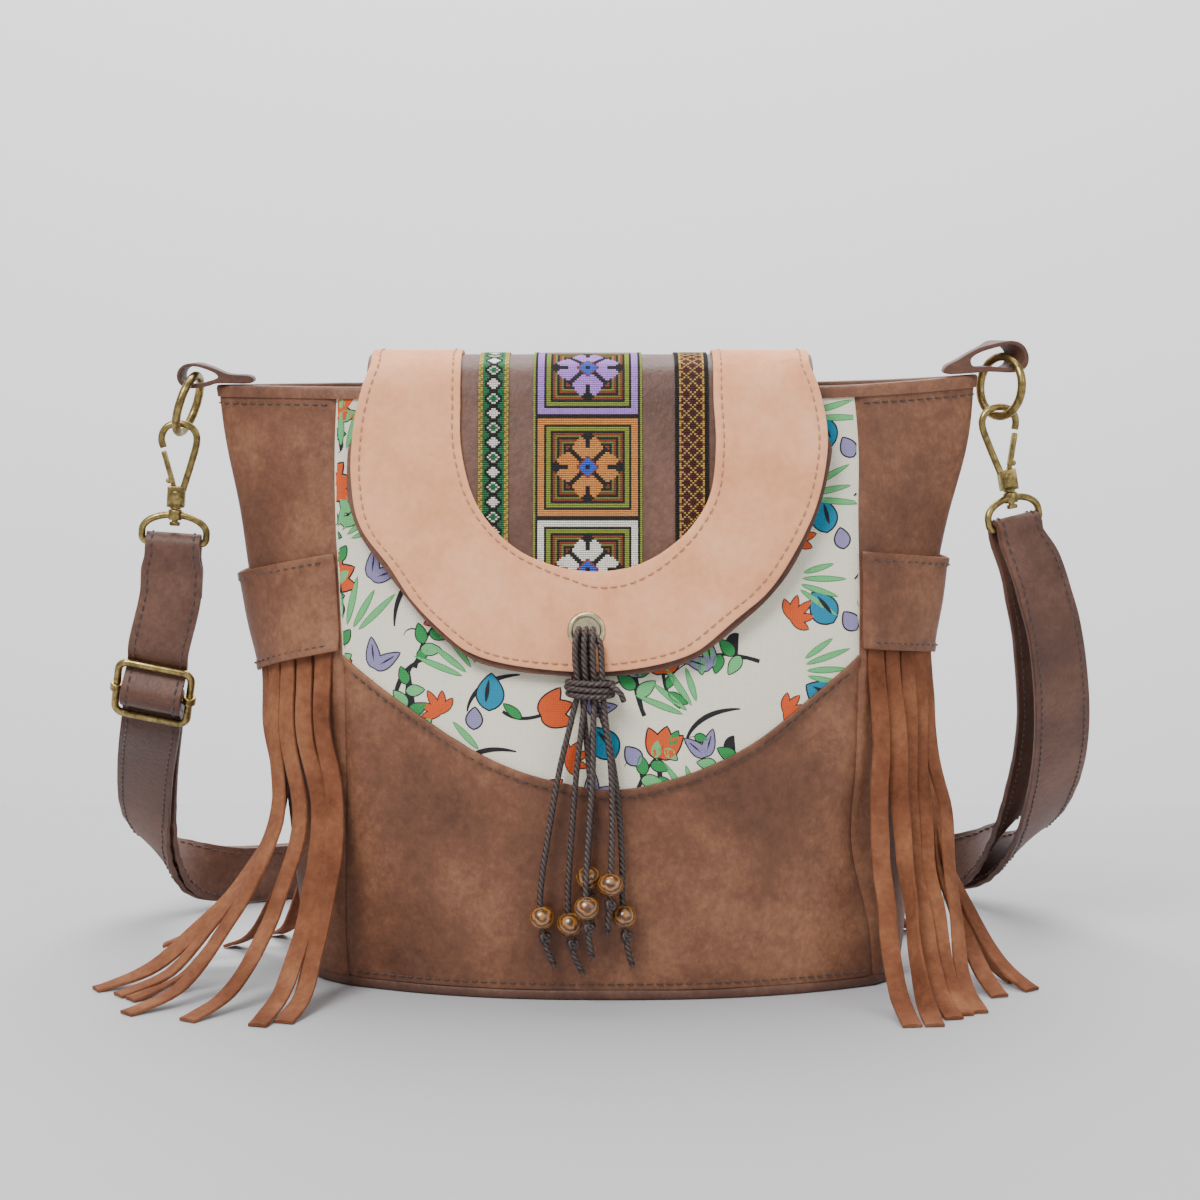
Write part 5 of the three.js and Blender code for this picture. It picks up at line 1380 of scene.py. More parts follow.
def centre_chart(column, row):
    """Colour of a cell in the centre band; rows count down from the top of a square."""
    turn, down = divmod(row, SQUARE_ROWS)
    frame_dye = FRAME_DYES[turn % 3]
    if column in (0, 49):
        return "green"
    if column in (1, 48) or down >= 46:
        return "black"
    a, b = int(abs(column - 24.5) + 0.5), int(abs(down - 22.5) + 0.5)
    low, high, d = min(a, b), max(a, b), max(a, b)
    if d >= 21:
        return frame_dye
    if d >= 17:
        return "green" if d in (18, 19) else "black"
    if a + b <= 4:
        return "black" if low == 0 or a == b == 1 else "blue"
    if a + b <= 6:
        return "rust" if a + b == 6 else "blue"
    if low <= 7 and high - low >= 2 and high + 1.2 * abs(low - 3.5) <= 15:
        return "black" if low == 1 and high >= 10 else frame_dye
    if a + b >= 19:
        return CORNER_DYES.get(d, "black")
    return "black"


def left_chart(column, row):
    if column in (0, 1, 12, 13):
        return "gold" if (row + column) % 3 else "olive"
    if column in (2, 11):
        return "emerald"
    a, b = abs(column - 6.5), abs(row % 7 - 3)
    if a + b <= 1.5:
        return "emerald" if (row // 7) % 2 else "white"
    return "white" if a + b <= 2.5 else ("emerald" if a + b >= 5.5 else "black")


def right_chart(column, row):
    if column in (0, 1, 14, 15):
        return "black"
    if column in (2, 13):
        return "gold" if row % 4 else "rust"
    across = column - 8
    if (across + row) % 6 == 0 or (across - row) % 6 == 0:
        return "gold"
    return "maroon"


def window_foot(x):
    """Height of the window's lower edge at an x."""
    inner = [(row[2], row[3]) for row in OVERLAY_U]
    kept = [row for i, row in enumerate(inner) if i == 0 or row[0] > inner[i - 1][0]]
    return smooth_read(kept, x / RIM_HALF_WIDTH, 1) * BODY_HEIGHT


fine_shares = [i / 1200 for i in range(1201)]
fine_points = [flap_route.at(share) for share in fine_shares]
flap_reach = [0.0]
for earlier, later in zip(fine_points, fine_points[1:]):
    flap_reach.append(flap_reach[-1] + (later - earlier).length)


def share_at(reach):
    """Share along the flap at a distance from its sewn end."""
    place = min(max(reach / flap_reach[-1] * 1200, 0), 1200)
    i = min(int(place), 1199)
    while i < 1199 and flap_reach[i + 1] < reach:
        i += 1
    while i > 0 and flap_reach[i] > reach:
        i -= 1
    return fine_shares[i] + (reach - flap_reach[i]) / (flap_reach[i + 1] - flap_reach[i]) / 1200


def reach_at(height):
    share = front_place(height)
    return flap_reach[min(int(share * 1200), 1200)]


def counted_band(name, middle, columns, width, chart, material, node, anchor):
    """A band of raised cells from the sewn end down to a little under the overlay's inner edge. The anchor is
    the distance from the sewn end at which row 0 of the chart begins."""
    cell = width / columns
    points, faces, dyes, places = [], [], [], []
    top = FLAP_SHEET + 0.75
    first = -int(anchor / CELL)
    for column in range(columns):
        left = middle - width / 2 + column * cell
        end = reach_at(window_foot(left + cell / 2) - 3)
        row = first
        while anchor + (row + 1) * CELL < end:
            near = share_at(anchor + row * CELL + 0.03)
            far = share_at(anchor + (row + 1) * CELL - 0.03)
            low_x, high_x = left + 0.03, left + cell - 0.03
            corners = [flap_point(x, along, top - 0.3) for x, along in
                       ((low_x, near), (high_x, near), (high_x, far), (low_x, far))]
            ridge = [flap_point(x, (near + far) / 2, top + 0.1) for x in (low_x, high_x)]
            start = len(points)
            points += corners + ridge
            faces += [(start, start + 1, start + 5, start + 4), (start + 4, start + 5, start + 2, start + 3)]
            places += [(left + cell * right, (row + down) * CELL) for right, down in
                       ((0, 0), (1, 0), (1, 1), (0, 1), (0, 0.5), (1, 0.5))]
            dyes += [DYES[chart(column, row)]] * 6
            row += 1
    piece = mesh_piece(name, points, faces, places)
    paint = piece.data.color_attributes.new("dye", "FLOAT_COLOR", "POINT")
    for i, dye in enumerate(dyes):
        paint.data[i].color = dye
    if piece.data.polygons[-1].normal.y > 0:
        piece.data.flip_normals()
    hand_over(piece, material, [node], smooth_angle=30)

    def ground_station(v):
        along = share_at(v * reach_at(window_foot(middle) - 3))
        return ((middle - width / 2, along), (middle + width / 2, along))

    ground = flap_sheet(name + "_ground", ground_station, FLAP_SHEET + 0.02, 0.5, 4, GROUND_CLOTH, node,
                        (width, 190, 120))
    return ground


GROUND_CLOTH = woven_canvas("ribbon_ground", "#1b1613", 0.6)
anchor = reach_at(SQUARE_BOTTOM_HEIGHT) - 2 * SQUARE_ROWS * CELL
counted_band("star_embroidery", -5, 50, 44.4, centre_chart, COTTON_STITCH, "flap_centre_band",
             anchor)
counted_band("diamond_ribbon", -43.5, 14, 12.3, left_chart, LUREX_STITCH, "flap_left_ribbon",
             anchor)
counted_band("lattice_ribbon", 37.5, 16, 13.8, right_chart, LUREX_STITCH, "flap_right_ribbon",
             anchor)
print("counted bands made; the flap is", round(flap_reach[-1]), "mm long")

# %% Eyelet
EYELET_X, EYELET_Z, EYELET_BORE, EYELET_RADIUS = -5.5, 152.3, 5.5, 7.8
eyelet_along = front_place(EYELET_Z)
eyelet_at = flap_point(EYELET_X, eyelet_along, 0)
eyelet_axis = (flap_point(EYELET_X, eyelet_along, 1) - eyelet_at).normalized()
stack = OVERLAY_LIFT + OVERLAY_DEPTH
lip = [(EYELET_BORE, -0.9), (EYELET_RADIUS - 0.4, -0.9), (EYELET_RADIUS - 0.4, -0.1),
       (EYELET_BORE + 0.6, -0.1), (EYELET_BORE + 0.6, stack + 0.1), (EYELET_RADIUS, stack + 0.1),
       (EYELET_RADIUS - 0.1, stack + 0.5),
       (EYELET_RADIUS - 0.7, stack + 0.95), (EYELET_BORE + 1, stack + 1.1), (EYELET_BORE + 0.35, stack + 0.9),
       (EYELET_BORE, stack + 0.4)]
hand_over(lathe("brass_eyelet", lip, eyelet_at, eyelet_axis, 48), PALE_BRASS, ["eyelet"])


def drill(piece, at, axis, radius):
    """Cuts a round hole right through a sheet."""
    bpy.ops.mesh.primitive_cylinder_add(vertices=40, radius=radius * MM, depth=0.02)
    tool = bpy.context.active_object
    turn = Vector((0, 0, 1)).rotation_difference(axis).to_matrix().to_4x4()
    tool.data.transform(Matrix.Translation(at * MM) @ turn)
    apply_modifier(piece, "BOOLEAN", operation="DIFFERENCE", object=tool, solver="EXACT")
    bpy.data.objects.remove(tool)


for sheet_piece in (backing, overlay):
    drill(sheet_piece, eyelet_at, eyelet_axis, EYELET_BORE + 0.3)
print("eyelet set at", tuple(round(value) for value in eyelet_at))

# %% [markdown]
# ## The tassel
# Six waxed cords come out of the eyelet in a bundle. Two turns of the same cord hold them, and each cord
# carries a lacquered wooden bead with a knot under it and a short frayed end.

# %% Tassel
CORD_RADIUS, BEAD_RADIUS = 1.25, 5.3
# Each cord's points x, y, z. Bead and knot sit on the piece between the last point but two and the last but
# one.
CORDS = [
    [(-8.5, -52.2, 153.7), (-8.8, -58.4, 153.6), (-9.8, -62.4, 150.6), (-10, -63, 142), (-8.9, -63, 130.2),
     (-11.4, -62.8, 118), (-16.4, -63, 97), (-20.4, -63.8, 74), (-23.4, -64.6, 54), (-24.3, -64.9, 42.1),
     (-22.2, -65.2, 25.4), (-19.5, -64.4, 18.5)],
    [(-5.7, -52.2, 153.7), (-5.8, -58.4, 153.6), (-6.3, -62.5, 150.8), (-6.4, -63.2, 142), (-5.6, -63, 130.2),
     (-7, -63.6, 118), (-9.4, -64.2, 97), (-11.2, -64.8, 74), (-12.6, -65.2, 54), (-12.9, -65.4, 39.6),
     (-10.9, -65.8, 22.9), (-8, -65, 15.5)],
    [(-2.9, -52.2, 153.7), (-2.9, -58.4, 153.6), (-3, -62.6, 150.8), (-2.9, -63.2, 142), (-2.3, -63, 130.2),
     (-2.6, -65.4, 118), (-3, -68, 97), (-4.4, -70.8, 74), (-5.4, -72.8, 58), (-5.7, -73.5, 48.1),
     (-4.7, -74.2, 31.3), (-3.6, -73.6, 24)],
    [(-8.5, -52.2, 150.9), (-8.4, -57.6, 150.8), (-8.5, -59.4, 148.8), (-8.4, -60, 142), (-7.2, -60, 130.2),
     (-6.4, -60.8, 118), (-4.4, -61.2, 97), (-3.6, -61.6, 76), (-4.7, -62.6, 65), (-4.9, -63.1, 58.2),
     (-4.1, -64.1, 41.5), (-3.4, -64, 34.5)],
    [(-2.9, -52.2, 150.9), (-2.5, -57.8, 150.8), (-0.2, -60.2, 149), (0.6, -61.6, 141.6), (1, -63, 130.2),
     (2.2, -64.6, 118), (4.4, -66.6, 98), (5, -68.8, 78), (4.7, -70.4, 65), (4.5, -71.1, 57.1),
     (3.7, -71.8, 40.4), (3, -71.4, 33.5)],
    [(-5.7, -52.2, 150.9), (-5.4, -57.6, 150.8), (-4.6, -59.4, 148.8), (-3.9, -60, 142), (-3.9, -60, 130.2),
     (1.6, -60.8, 116), (5.6, -61.4, 97), (8.2, -62.4, 74), (9, -64, 56), (9.2, -64.6, 42.6),
     (10.9, -65.1, 25.9), (12.6, -64.4, 18.5)],
]


def ball_profile(radius, squash, bore, arcs, dimple):
    edge = math.asin(bore / radius)
    turns = [edge + (math.pi - 2 * edge) * i / arcs for i in range(arcs + 1)]
    outside = [(radius * math.sin(turn), -radius * squash * math.cos(turn)) for turn in turns]
    return [*outside, (bore, outside[-1][1] - dimple), (bore, outside[0][1] + dimple)]


def overhand_knot(name, at, axis):
    """A small overhand knot: one tight loop that crosses itself."""
    turn = Vector((0, 0, 1)).rotation_difference(axis)
    centres = []
    for i in range(49):
        angle = 2 * math.pi * i / 48
        local = Vector((1.35 * math.cos(angle) + 0.35 * math.cos(2 * angle),
                        1.35 * math.sin(angle) - 0.35 * math.sin(2 * angle), 1.05 * math.sin(3 * angle)))
        centres.append(at + turn @ local)
    return tube(name, centres[:-1], CORD_RADIUS * 0.95, 10, closed=True)


def frayed_end(name, at, ahead):
    """Loose fibres at the cut end of a cord."""
    hairs = []
    for i in range(9):
        away = Vector((math.cos(i * 2.4), math.sin(i * 2.4), 0)) * (0.25 + 0.1 * (i % 3))
        direction = (ahead + away).normalized()
        start = at + away * 1.4 - ahead * 0.6
        line = [start, start + direction * 1.6, start + direction * (2.6 + 0.5 * (i % 4))]
        hairs.append(tube(f"{name}_{i}", line, 0.2, 4))
    return join_pieces(name, hairs)


def tassel_cord(number, points):
    route = Route(points)
    centres = [route.at(share) for share in route.evenly(1.6)]
    cord = tube(f"tassel_cord_{number}", centres, CORD_RADIUS, 12)
    cord.name = f"waxed_cord_{number}"
    end = frayed_end(f"frayed_end_{number}", centres[-1], (centres[-1] - centres[-3]).normalized())
    hand_over(end, CORD, smooth_angle=60)
    hand_over(cord, CORD, [f"tassel_cord_{number}"], smooth_angle=60)
    above, below = Vector(points[-3]), Vector(points[-2])
    axis = (above - below).normalized()
    bead = lathe(f"wooden_bead_{number}", ball_profile(BEAD_RADIUS, 0.93, CORD_RADIUS + 0.3, 20, 0.5),
                 above.lerp(below, 0.33), axis, 36)
    hand_over(bead, WOOD, [f"tassel_bead_{number}"], smooth_angle=60)
    knot = overhand_knot(f"end_knot_{number}", above.lerp(below, 0.82), axis)
    hand_over(knot, CORD, [f"tassel_end_knot_{number}"], smooth_angle=60)
    length = sum((b - a).length for a, b in zip(centres, centres[1:])) * MM
    return length


cord_lengths = [tassel_cord(i + 1, points) for i, points in enumerate(CORDS)]
print("cords, mm:", [round(length * 1000) for length in cord_lengths])


def wrap_turn(level, tilt, wide):
    centres = []
    for i in range(48):
        turn = 2 * math.pi * i / 48
        x, y = (9.0 + wide) * math.cos(turn), (5.5 + wide * 0.4) * math.sin(turn)
        centres.append(Vector((-3.9 + x, -61.5 + y, 130.2 + level + tilt * math.cos(turn + level))))
    return tube(f"wrap_{level}", centres, CORD_RADIUS, 12, closed=True)


TAIL_LINE = [(4.6, -65, 131.4), (6.6, -66.6, 130.6), (8.6, -66.4, 128.4), (9.6, -65.4, 125.6)]
wrap_tail = tube("wrap_tail", TAIL_LINE, CORD_RADIUS * 0.95, 10)
wrap_turns = [wrap_turn(2.3, 0.5, 0.1), wrap_turn(0.1, -0.6, 0.5), wrap_turn(-2.1, 0.5, 0.0)]
wrap = join_pieces("tassel_wrap", [*wrap_turns, wrap_tail])
hand_over(wrap, CORD, ["tassel_wrap_knot"], smooth_angle=60)

# %% [markdown]
# ## Fittings
# Each fitting is drawn in its own plane and then set in a frame: a point, the direction up the fitting and
# the direction across it. The hooks and gates ride on their own bodies, so they move with the joints.

# %% Frames of the fittings
RING_RADIUS, RING_WIRE, RING_PLAY, HOOK_WIRE, HOOK_DEPTH = 12.5, 1.8, 0.5, 1.5, 4.4
HOOK_EYE_HEIGHT, HOOK_EYE_HALF_WIDTH, HOOK_BLOCK_HEIGHT, RIVET_HEIGHT = 35.4, 7.4, 8.8, 5.2
GATE_REACH, GATE_LEAN = 19.2, math.radians(19)
SWIVEL_WIRE, SWIVEL_HALF_WIDTH, SWIVEL_TOP, SWIVEL_DROP, SWIVEL_CORNER = 1.5, 13.6, 3.2, 15, 2.4
SLIDER_HALF_WIDTH, SLIDER_HALF_HEIGHT, SLIDER_WIRE = 15.8, 13, 1.65


def fitting_frame(at, up, turn_degrees=0.0, across=None):
    """A matrix whose columns are across, up and towards the viewer, at a point in millimetres."""
    rise = Vector(up).normalized()
    turn = math.radians(turn_degrees)
    side = Vector(across) if across else Vector((math.cos(turn), math.sin(turn), 0))
    side = (side - rise * side.dot(rise)).normalized()
    front = side.cross(rise)
    return Matrix.Translation(Vector(at)) @ Matrix((side, rise, front)).transposed().to_4x4()


LEFT_STEM, LEFT_UP = (-178.8, 0, 198.4), (0.07, 0, 1)
RIGHT_STEM, RIGHT_UP = (172.4, 0, 205.6), (-0.17, 0, 0.985)
left_hook_frame = left_swivel_frame = fitting_frame(LEFT_STEM, LEFT_UP)
right_hook_frame = fitting_frame(RIGHT_STEM, RIGHT_UP, 192)
right_swivel_frame = fitting_frame(RIGHT_STEM, RIGHT_UP, 31)
slider_frame = fitting_frame((-191.5, 12, 117.5), (0.17, -0.42, 0.89), -6)


def ring_frame(hook_frame, lean, across):
    low = hook_frame @ Vector((0, HOOK_EYE_HEIGHT - HOOK_WIRE - RING_PLAY - RING_WIRE, 0))
    up = -Vector(lean).normalized()
    return fitting_frame(low + up * RING_RADIUS, up, across=across)


left_ring_frame = ring_frame(left_hook_frame, (-0.3, 0, -0.954), (-0.17, -0.985, 0))
right_ring_frame = ring_frame(right_hook_frame, (-0.087, 0, -0.996), (0.59, -0.81, 0))


def placed(piece, frame):
    """Moves a piece drawn in a fitting's own plane into its frame."""
    shift = frame.copy()
    shift.translation = frame.translation * MM
    piece.data.transform(shift)
    piece.data.update()
    return piece


def drawn_tube(name, line, radius, closed=False, sides=16, radii=None):
    return tube(name, [(x, y, 0) for x, y in line], radius, sides, closed=closed, radii=radii)


def primitive(kind, place, turn=(0, 0, 0), bevel=0.0, **sizes):
    """A bpy primitive with its place in the mesh, in millimetres, and its edges softened."""
    scale = sizes.pop("scale", (1, 1, 1))
    lengths = {key: value * MM if key in ("radius", "depth", "size", "radius1", "radius2") else value
               for key, value in sizes.items()}
    getattr(bpy.ops.mesh, f"primitive_{kind}_add")(**lengths)
    piece = bpy.context.active_object
    piece.data.transform(Matrix.Diagonal((*scale, 1)))
    piece.data.transform(Matrix.Rotation(turn[2], 4, "Z") @ Matrix.Rotation(turn[1], 4, "Y")
                         @ Matrix.Rotation(turn[0], 4, "X"))
    piece.data.transform(Matrix.Translation(Vector(place) * MM))
    if bevel:
        apply_modifier(piece, "BEVEL", width=bevel * MM, segments=3, limit_method="ANGLE",
                       angle_limit=math.radians(40))
    return piece


# %% Rings, hooks, gates and swivel loops
def make_ring(name, frame, node):
    line = [(RING_RADIUS * math.cos(2 * math.pi * i / 72), RING_RADIUS * math.sin(2 * math.pi * i / 72))
            for i in range(72)]
    piece = placed(drawn_tube(name, line, RING_WIRE, closed=True, sides=18), frame)
    hand_over(piece, BRASS, [node], smooth_angle=60)


HOOK_LINE = [(-0.86, 0.7), (-1, 0.79), (-0.95, 0.88), (-0.66, 0.96), (0, 1), (0.66, 0.96), (0.95, 0.88),
             (1, 0.79), (0.76, 0.54), (0.36, 0.21)]


def make_hook(name, frame, node, body):
    route = Route([(x * HOOK_EYE_HALF_WIDTH, y * HOOK_EYE_HEIGHT, 0) for x, y in HOOK_LINE])
    shares = route.evenly(0.8)
    wire = tube(name, [route.at(share) for share in shares], HOOK_WIRE, 16)
    cheeks = [primitive("cube", (0, HOOK_BLOCK_HEIGHT / 2, side * (HOOK_DEPTH - 0.85) / 2), bevel=0.3, size=1,
                        scale=(7.2, HOOK_BLOCK_HEIGHT, 0.85)) for side in (-1, 1)]
    back_wall = primitive("cube", (2.9, HOOK_BLOCK_HEIGHT / 2 + 0.2, 0), bevel=0.35, size=1,
                          scale=(1.8, HOOK_BLOCK_HEIGHT - 0.4, HOOK_DEPTH))
    floor = primitive("cube", (0, 0.9, 0), bevel=0.35, size=1, scale=(6.4, 1.8, HOOK_DEPTH))
    rivets = [primitive("uv_sphere", (0, RIVET_HEIGHT, side * HOOK_DEPTH / 2), segments=24, ring_count=12,
                        radius=1.9, scale=(1, 1, 0.3)) for side in (-1, 1)]
    pin = primitive("cylinder", (0, RIVET_HEIGHT, 0), vertices=24, radius=1.2, depth=HOOK_DEPTH)
    stem = primitive("cylinder", (0, -3, 0), (math.pi / 2, 0, 0), vertices=28, radius=1.3, depth=7)
    head = primitive("cylinder", (0, -7, 0), (math.pi / 2, 0, 0), 0.35, vertices=28, radius=2.3, depth=1.6)
    collar = primitive("cylinder", (0, -0.35, 0), (math.pi / 2, 0, 0), 0.2, vertices=28, radius=2.4,
                       depth=0.7)
    piece = join_pieces(name, [wire, *cheeks, back_wall, floor, *rivets, pin, stem, head, collar])
    hand_over(placed(piece, frame), BRASS, [node], body=body, smooth_angle=45)


def make_gate(name, frame, node, body):
    root = primitive("cylinder", (0, 0, 0), bevel=0.25, vertices=28, radius=2.1, depth=1.8)
    arm = primitive("cube", (0, GATE_REACH / 2, 0), bevel=0.35, size=1, scale=(2.0, GATE_REACH, 1.7))
    outer = primitive("cube", (0, 5 + (GATE_REACH - 5) / 2, 0), bevel=0.6, size=1,
                      scale=(2.2, GATE_REACH - 5, 2.8))
    lug = primitive("uv_sphere", (-1.5, 6.6, 0), segments=20, ring_count=12, radius=1.2)
    piece = join_pieces(name, [root, arm, outer, lug])
    turn = Matrix.Translation(Vector((0, RIVET_HEIGHT, 0)) * MM) @ Matrix.Rotation(GATE_LEAN, 4, "Z")
    piece.data.transform(turn)
    hand_over(placed(piece, frame), BRASS, [node], body=body, smooth_angle=45)


def swivel_line():
    """The loop's middle line: a low arch over a straight bar with rounded corners."""
    line = []
    for i in range(25):
        turn = math.pi * i / 24
        line.append((SWIVEL_HALF_WIDTH * math.cos(turn), -10.4 + (10.4 - SWIVEL_TOP) * math.sin(turn)))
    corner_x, corner_y = SWIVEL_HALF_WIDTH - SWIVEL_CORNER, -SWIVEL_DROP + SWIVEL_CORNER
    for side, start in ((-1, math.pi), (1, math.pi * 1.5)):
        for i in range(7):
            turn = start + math.pi / 2 * i / 6
            line.append((side * corner_x + SWIVEL_CORNER * math.cos(turn),
                         corner_y + SWIVEL_CORNER * math.sin(turn)))
    return line


def make_swivel(name, frame, node):
    loop = drawn_tube(name, swivel_line(), SWIVEL_WIRE, closed=True, sides=16)
    boss = primitive("cylinder", (0, -SWIVEL_TOP, 0),
                     (math.pi / 2, 0, 0), 0.5, vertices=32, radius=3, depth=4.4)
    piece = join_pieces(name, [loop, boss])
    hand_over(placed(piece, frame), BRASS, [node], smooth_angle=50)


make_ring("left_brass_ring", left_ring_frame, "left_ring")
make_ring("right_brass_ring", right_ring_frame, "right_ring")
for side, hook_frame, swivel_frame in (("left", left_hook_frame, left_swivel_frame),
                                       ("right", right_hook_frame, right_swivel_frame)):
    make_hook(f"{side}_brass_hook", hook_frame, f"{side}_hook", f"{side}_hook")
    make_gate(f"{side}_brass_gate", hook_frame, f"{side}_gate", f"{side}_gate")
    make_swivel(f"{side}_brass_swivel", swivel_frame, f"{side}_swivel_loop")

# %% Slider
corner = 4
slider_line = []
for side_x, side_y, start in ((1, 1, 0), (-1, 1, 0.5), (-1, -1, 1), (1, -1, 1.5)):
    for i in range(7):
        turn = math.pi * (start + 0.5 * i / 6)
        slider_line.append((side_x * (SLIDER_HALF_WIDTH - corner) + corner * math.cos(turn),
                            side_y * (SLIDER_HALF_HEIGHT - corner) + corner * math.sin(turn)))
slider = placed(drawn_tube("slider_wire", slider_line, SLIDER_WIRE, closed=True, sides=18), slider_frame)
hand_over(slider, BRASS, ["slider_frame"], smooth_angle=60)
bar = primitive("cylinder", (0, 0, 0), (0, math.pi / 2, 0), 0.3, vertices=24, radius=1.4, depth=36.5)
eyes = [primitive("cylinder", (side * SLIDER_HALF_WIDTH, 0, 0), (math.pi / 2, 0, 0), 0.5, vertices=32,
                  radius=2.85, depth=3.6) for side in (-1, 1)]
hand_over(placed(join_pieces("slider_crossbar", [bar, *eyes]), slider_frame), BRASS, ["slider_bar"],
          smooth_angle=50)
print("fittings made")

# %% [markdown]
# ## Ring loops
# A strip of leather folds round each ring and is sewn to the corner of the rim. Its outline is drawn in the
# plane of the front, with the ring's hole, and stretched to its ten millimetres across.

# %% Leather loops
LEFT_TAB = {
    "outer": [(-14, 0.7), (-0.5, 0.6), (5, -0.9), (11, -1.4), (15, 0.6), (15.9, 4.7), (13.4, 8.2), (8.5, 9.1),
              (2, 7.4), (-5, 4.6), (-14, 3.8)],
    "hole": [(0, 2.8), (5, 1.1), (10.6, 0.2), (13.8, 1.7), (14.3, 4.7), (12.6, 7.1), (8.3, 7.7), (3, 6),
             (0, 4.2)],
}
RIGHT_TAB = {
    "outer": [(-13, 0.2), (-2, 0.5), (5, 1.3), (11, 0.7), (16.6, 2.5), (18, 7.3), (15.4, 12.5), (9.6, 14),
              (0.4, 11), (-8, 6.2), (-13, 3.4)],
    "hole": [(-1.4, 3.3), (5, 3.3), (10.8, 2.4), (14.9, 3.9), (16.1, 7.5), (14, 11.1), (9.4, 12.3),
             (1.4, 9.3),
             (-2.6, 6.4)],
}
TAB_WIDTH = 10


def smooth_loop(points, per_side=4):
    """Closed smooth line through the points."""
    count, line = len(points), []
    for i in range(count):
        p0, p1, p2, p3 = [Vector(points[(i + k) % count]) for k in (-1, 0, 1, 2)]
        for j in range(per_side):
            t = j / per_side
            line.append(0.5 * (2 * p1 + (p2 - p0) * t + (2 * p0 - 5 * p1 + 4 * p2 - p3) * t * t
                               + (3 * p1 - p0 - 3 * p2 + p3) * t ** 3))
    return line


def make_tab(name, lines, ridge, out, across, node):
    corner_at = body_point(ridge, BODY_HEIGHT, 0)
    outer, hole = smooth_loop(lines["outer"]), smooth_loop(lines["hole"])
    outline = bpy.data.curves.new(name, "CURVE")
    outline.dimensions = "2D"
    outline.fill_mode = "BOTH"
    outline.extrude = TAB_WIDTH / 2 * MM - 0.35 * MM
    outline.bevel_depth = 0.35 * MM
    outline.bevel_resolution = 2
    outline.offset = -0.35 * MM
    for line in (outer, hole):
        spline = outline.splines.new("POLY")
        spline.points.add(len(line) - 1)
        for point, place in zip(spline.points, line):
            point.co = (place.x * MM, place.y * MM, 0, 1)
        spline.use_cyclic_u = True
    drawing = bpy.data.objects.new(name, outline)
    bpy.context.collection.objects.link(drawing)
    bpy.ops.object.select_all(action="DESELECT")
    drawing.select_set(True)
    bpy.context.view_layer.objects.active = drawing
    bpy.ops.object.convert(target="MESH")
    piece = bpy.context.active_object
    for vertex in piece.data.vertices:
        x, y, z = vertex.co / MM
        away = smoothstep(x, 0, 10)
        sheared = corner_at.x + out * x - z * away * across[0] / across[1]
        vertex.co = Vector((sheared, -z, corner_at.z + y)) * MM
    turn_outward(piece)
    return hand_over(piece, STRAP_LEATHER, [node], smooth_angle=50)


make_tab("left_leather_loop", LEFT_TAB, LEFT_RIDGE, -1, left_ring_frame.col[0].xyz, "left_tab")
make_tab("right_leather_loop", RIGHT_TAB, RIGHT_RIDGE, 1, right_ring_frame.col[0].xyz, "right_tab")

# %% [markdown]
# ## The strap
# One long strap is sewn round the left swivel's bar and goes down through the slider, behind the bag and up
# to the right swivel. There it turns back and runs along itself to the slider's own bar. It is two skins of
# leather sewn together near both edges.

# %% Strap
STRAP_WIDTH, STRAP_THICKNESS = 26, 2.6
STRAP_PITCH = STRAP_THICKNESS + 0.5
# Columns: x, y, z of the outer layer; direction across the strap; distance to the inner layer.
STRAP_RUN = [
    (-200, 44, 82, 0.94, -0.33, -0.06, 6.6), (-205, 70, 58, 0.9, -0.42, -0.12, 6),
    (-206, 92, 38, 0.72, -0.6, -0.34, 5), (-199, 109, 24, 0.42, -0.6, -0.68, 4.4),
    (-186, 121, 16.6, 0.12, -0.3, -0.95, 3.8), (-168, 131, 14, 0, 0, -1, 3.4),
    (-110, 156, 13.6, 0, 0, -1, 3.4),
    (-40, 171, 13.6, 0, 0, -1, 3.4), (30, 173, 13.6, 0, 0, -1, 3.4), (100, 167, 13.6, 0, 0, -1, 3.6),
    (154, 153, 14.2, -0.02, -0.06, -1, 4.4), (177, 137, 18.4, -0.2, -0.34, -0.92, 6.4),
    (190, 117, 27, -0.5, -0.54, -0.67, 9), (198, 92, 41, -0.75, -0.54, -0.36, 12),
    (201, 66, 60, -0.86, -0.47, -0.16, 15), (201.5, 40, 84, -0.91, -0.41, -0.04, 17),
    (199, 19, 112, -0.92, -0.38, -0.04, 16.4), (193, 6, 146, -0.89, -0.42, -0.12, 12.4),
    (184, -1, 173, -0.85, -0.48, -0.18, 7.4),
]
# Columns: share of the slider's half height; depth behind the slider's plane in pitches of two layers.
OUTER_WEAVE = [(1.69, 0.39), (1, 1.16), (0.754, 0.774), (0.415, -0.968), (0.23, -1.81), (0, -2.13),
               (-0.23, -1.81), (-0.415, -0.968), (-0.754, 0.774), (-1, 1.16), (-1.62, 1.16)]
INNER_WEAVE = [(-1.62, 3.19), (-1, 3.13), (-0.615, 2.61), (-0.23, 1.68), (0.115, 0.84), (0.23, 0),
               (0.162, -0.677), (0, -0.968), (-0.138, -0.774), (-0.354, 0.194), (-0.615, 1.55), (-1, 2.16),
               (-1.46, 2.16)]


def over_bar(frame, side, turn_back):
    reach = SWIVEL_WIRE + 0.3 + STRAP_THICKNESS / 2
    across = frame.col[0].xyz * side
    stations = []
    for i in range(-1, 6):
        turn = math.pi * min(max(i, 0), 4) / 4
        drop = 5 if i in (-1, 5) else 0
        local = Vector((0, -SWIVEL_DROP - drop + reach * math.sin(turn), -reach * math.cos(turn) * turn_back))
        stations.append((frame @ local, across, 2 * (SWIVEL_HALF_WIDTH - SWIVEL_WIRE) - 1))
    return stations


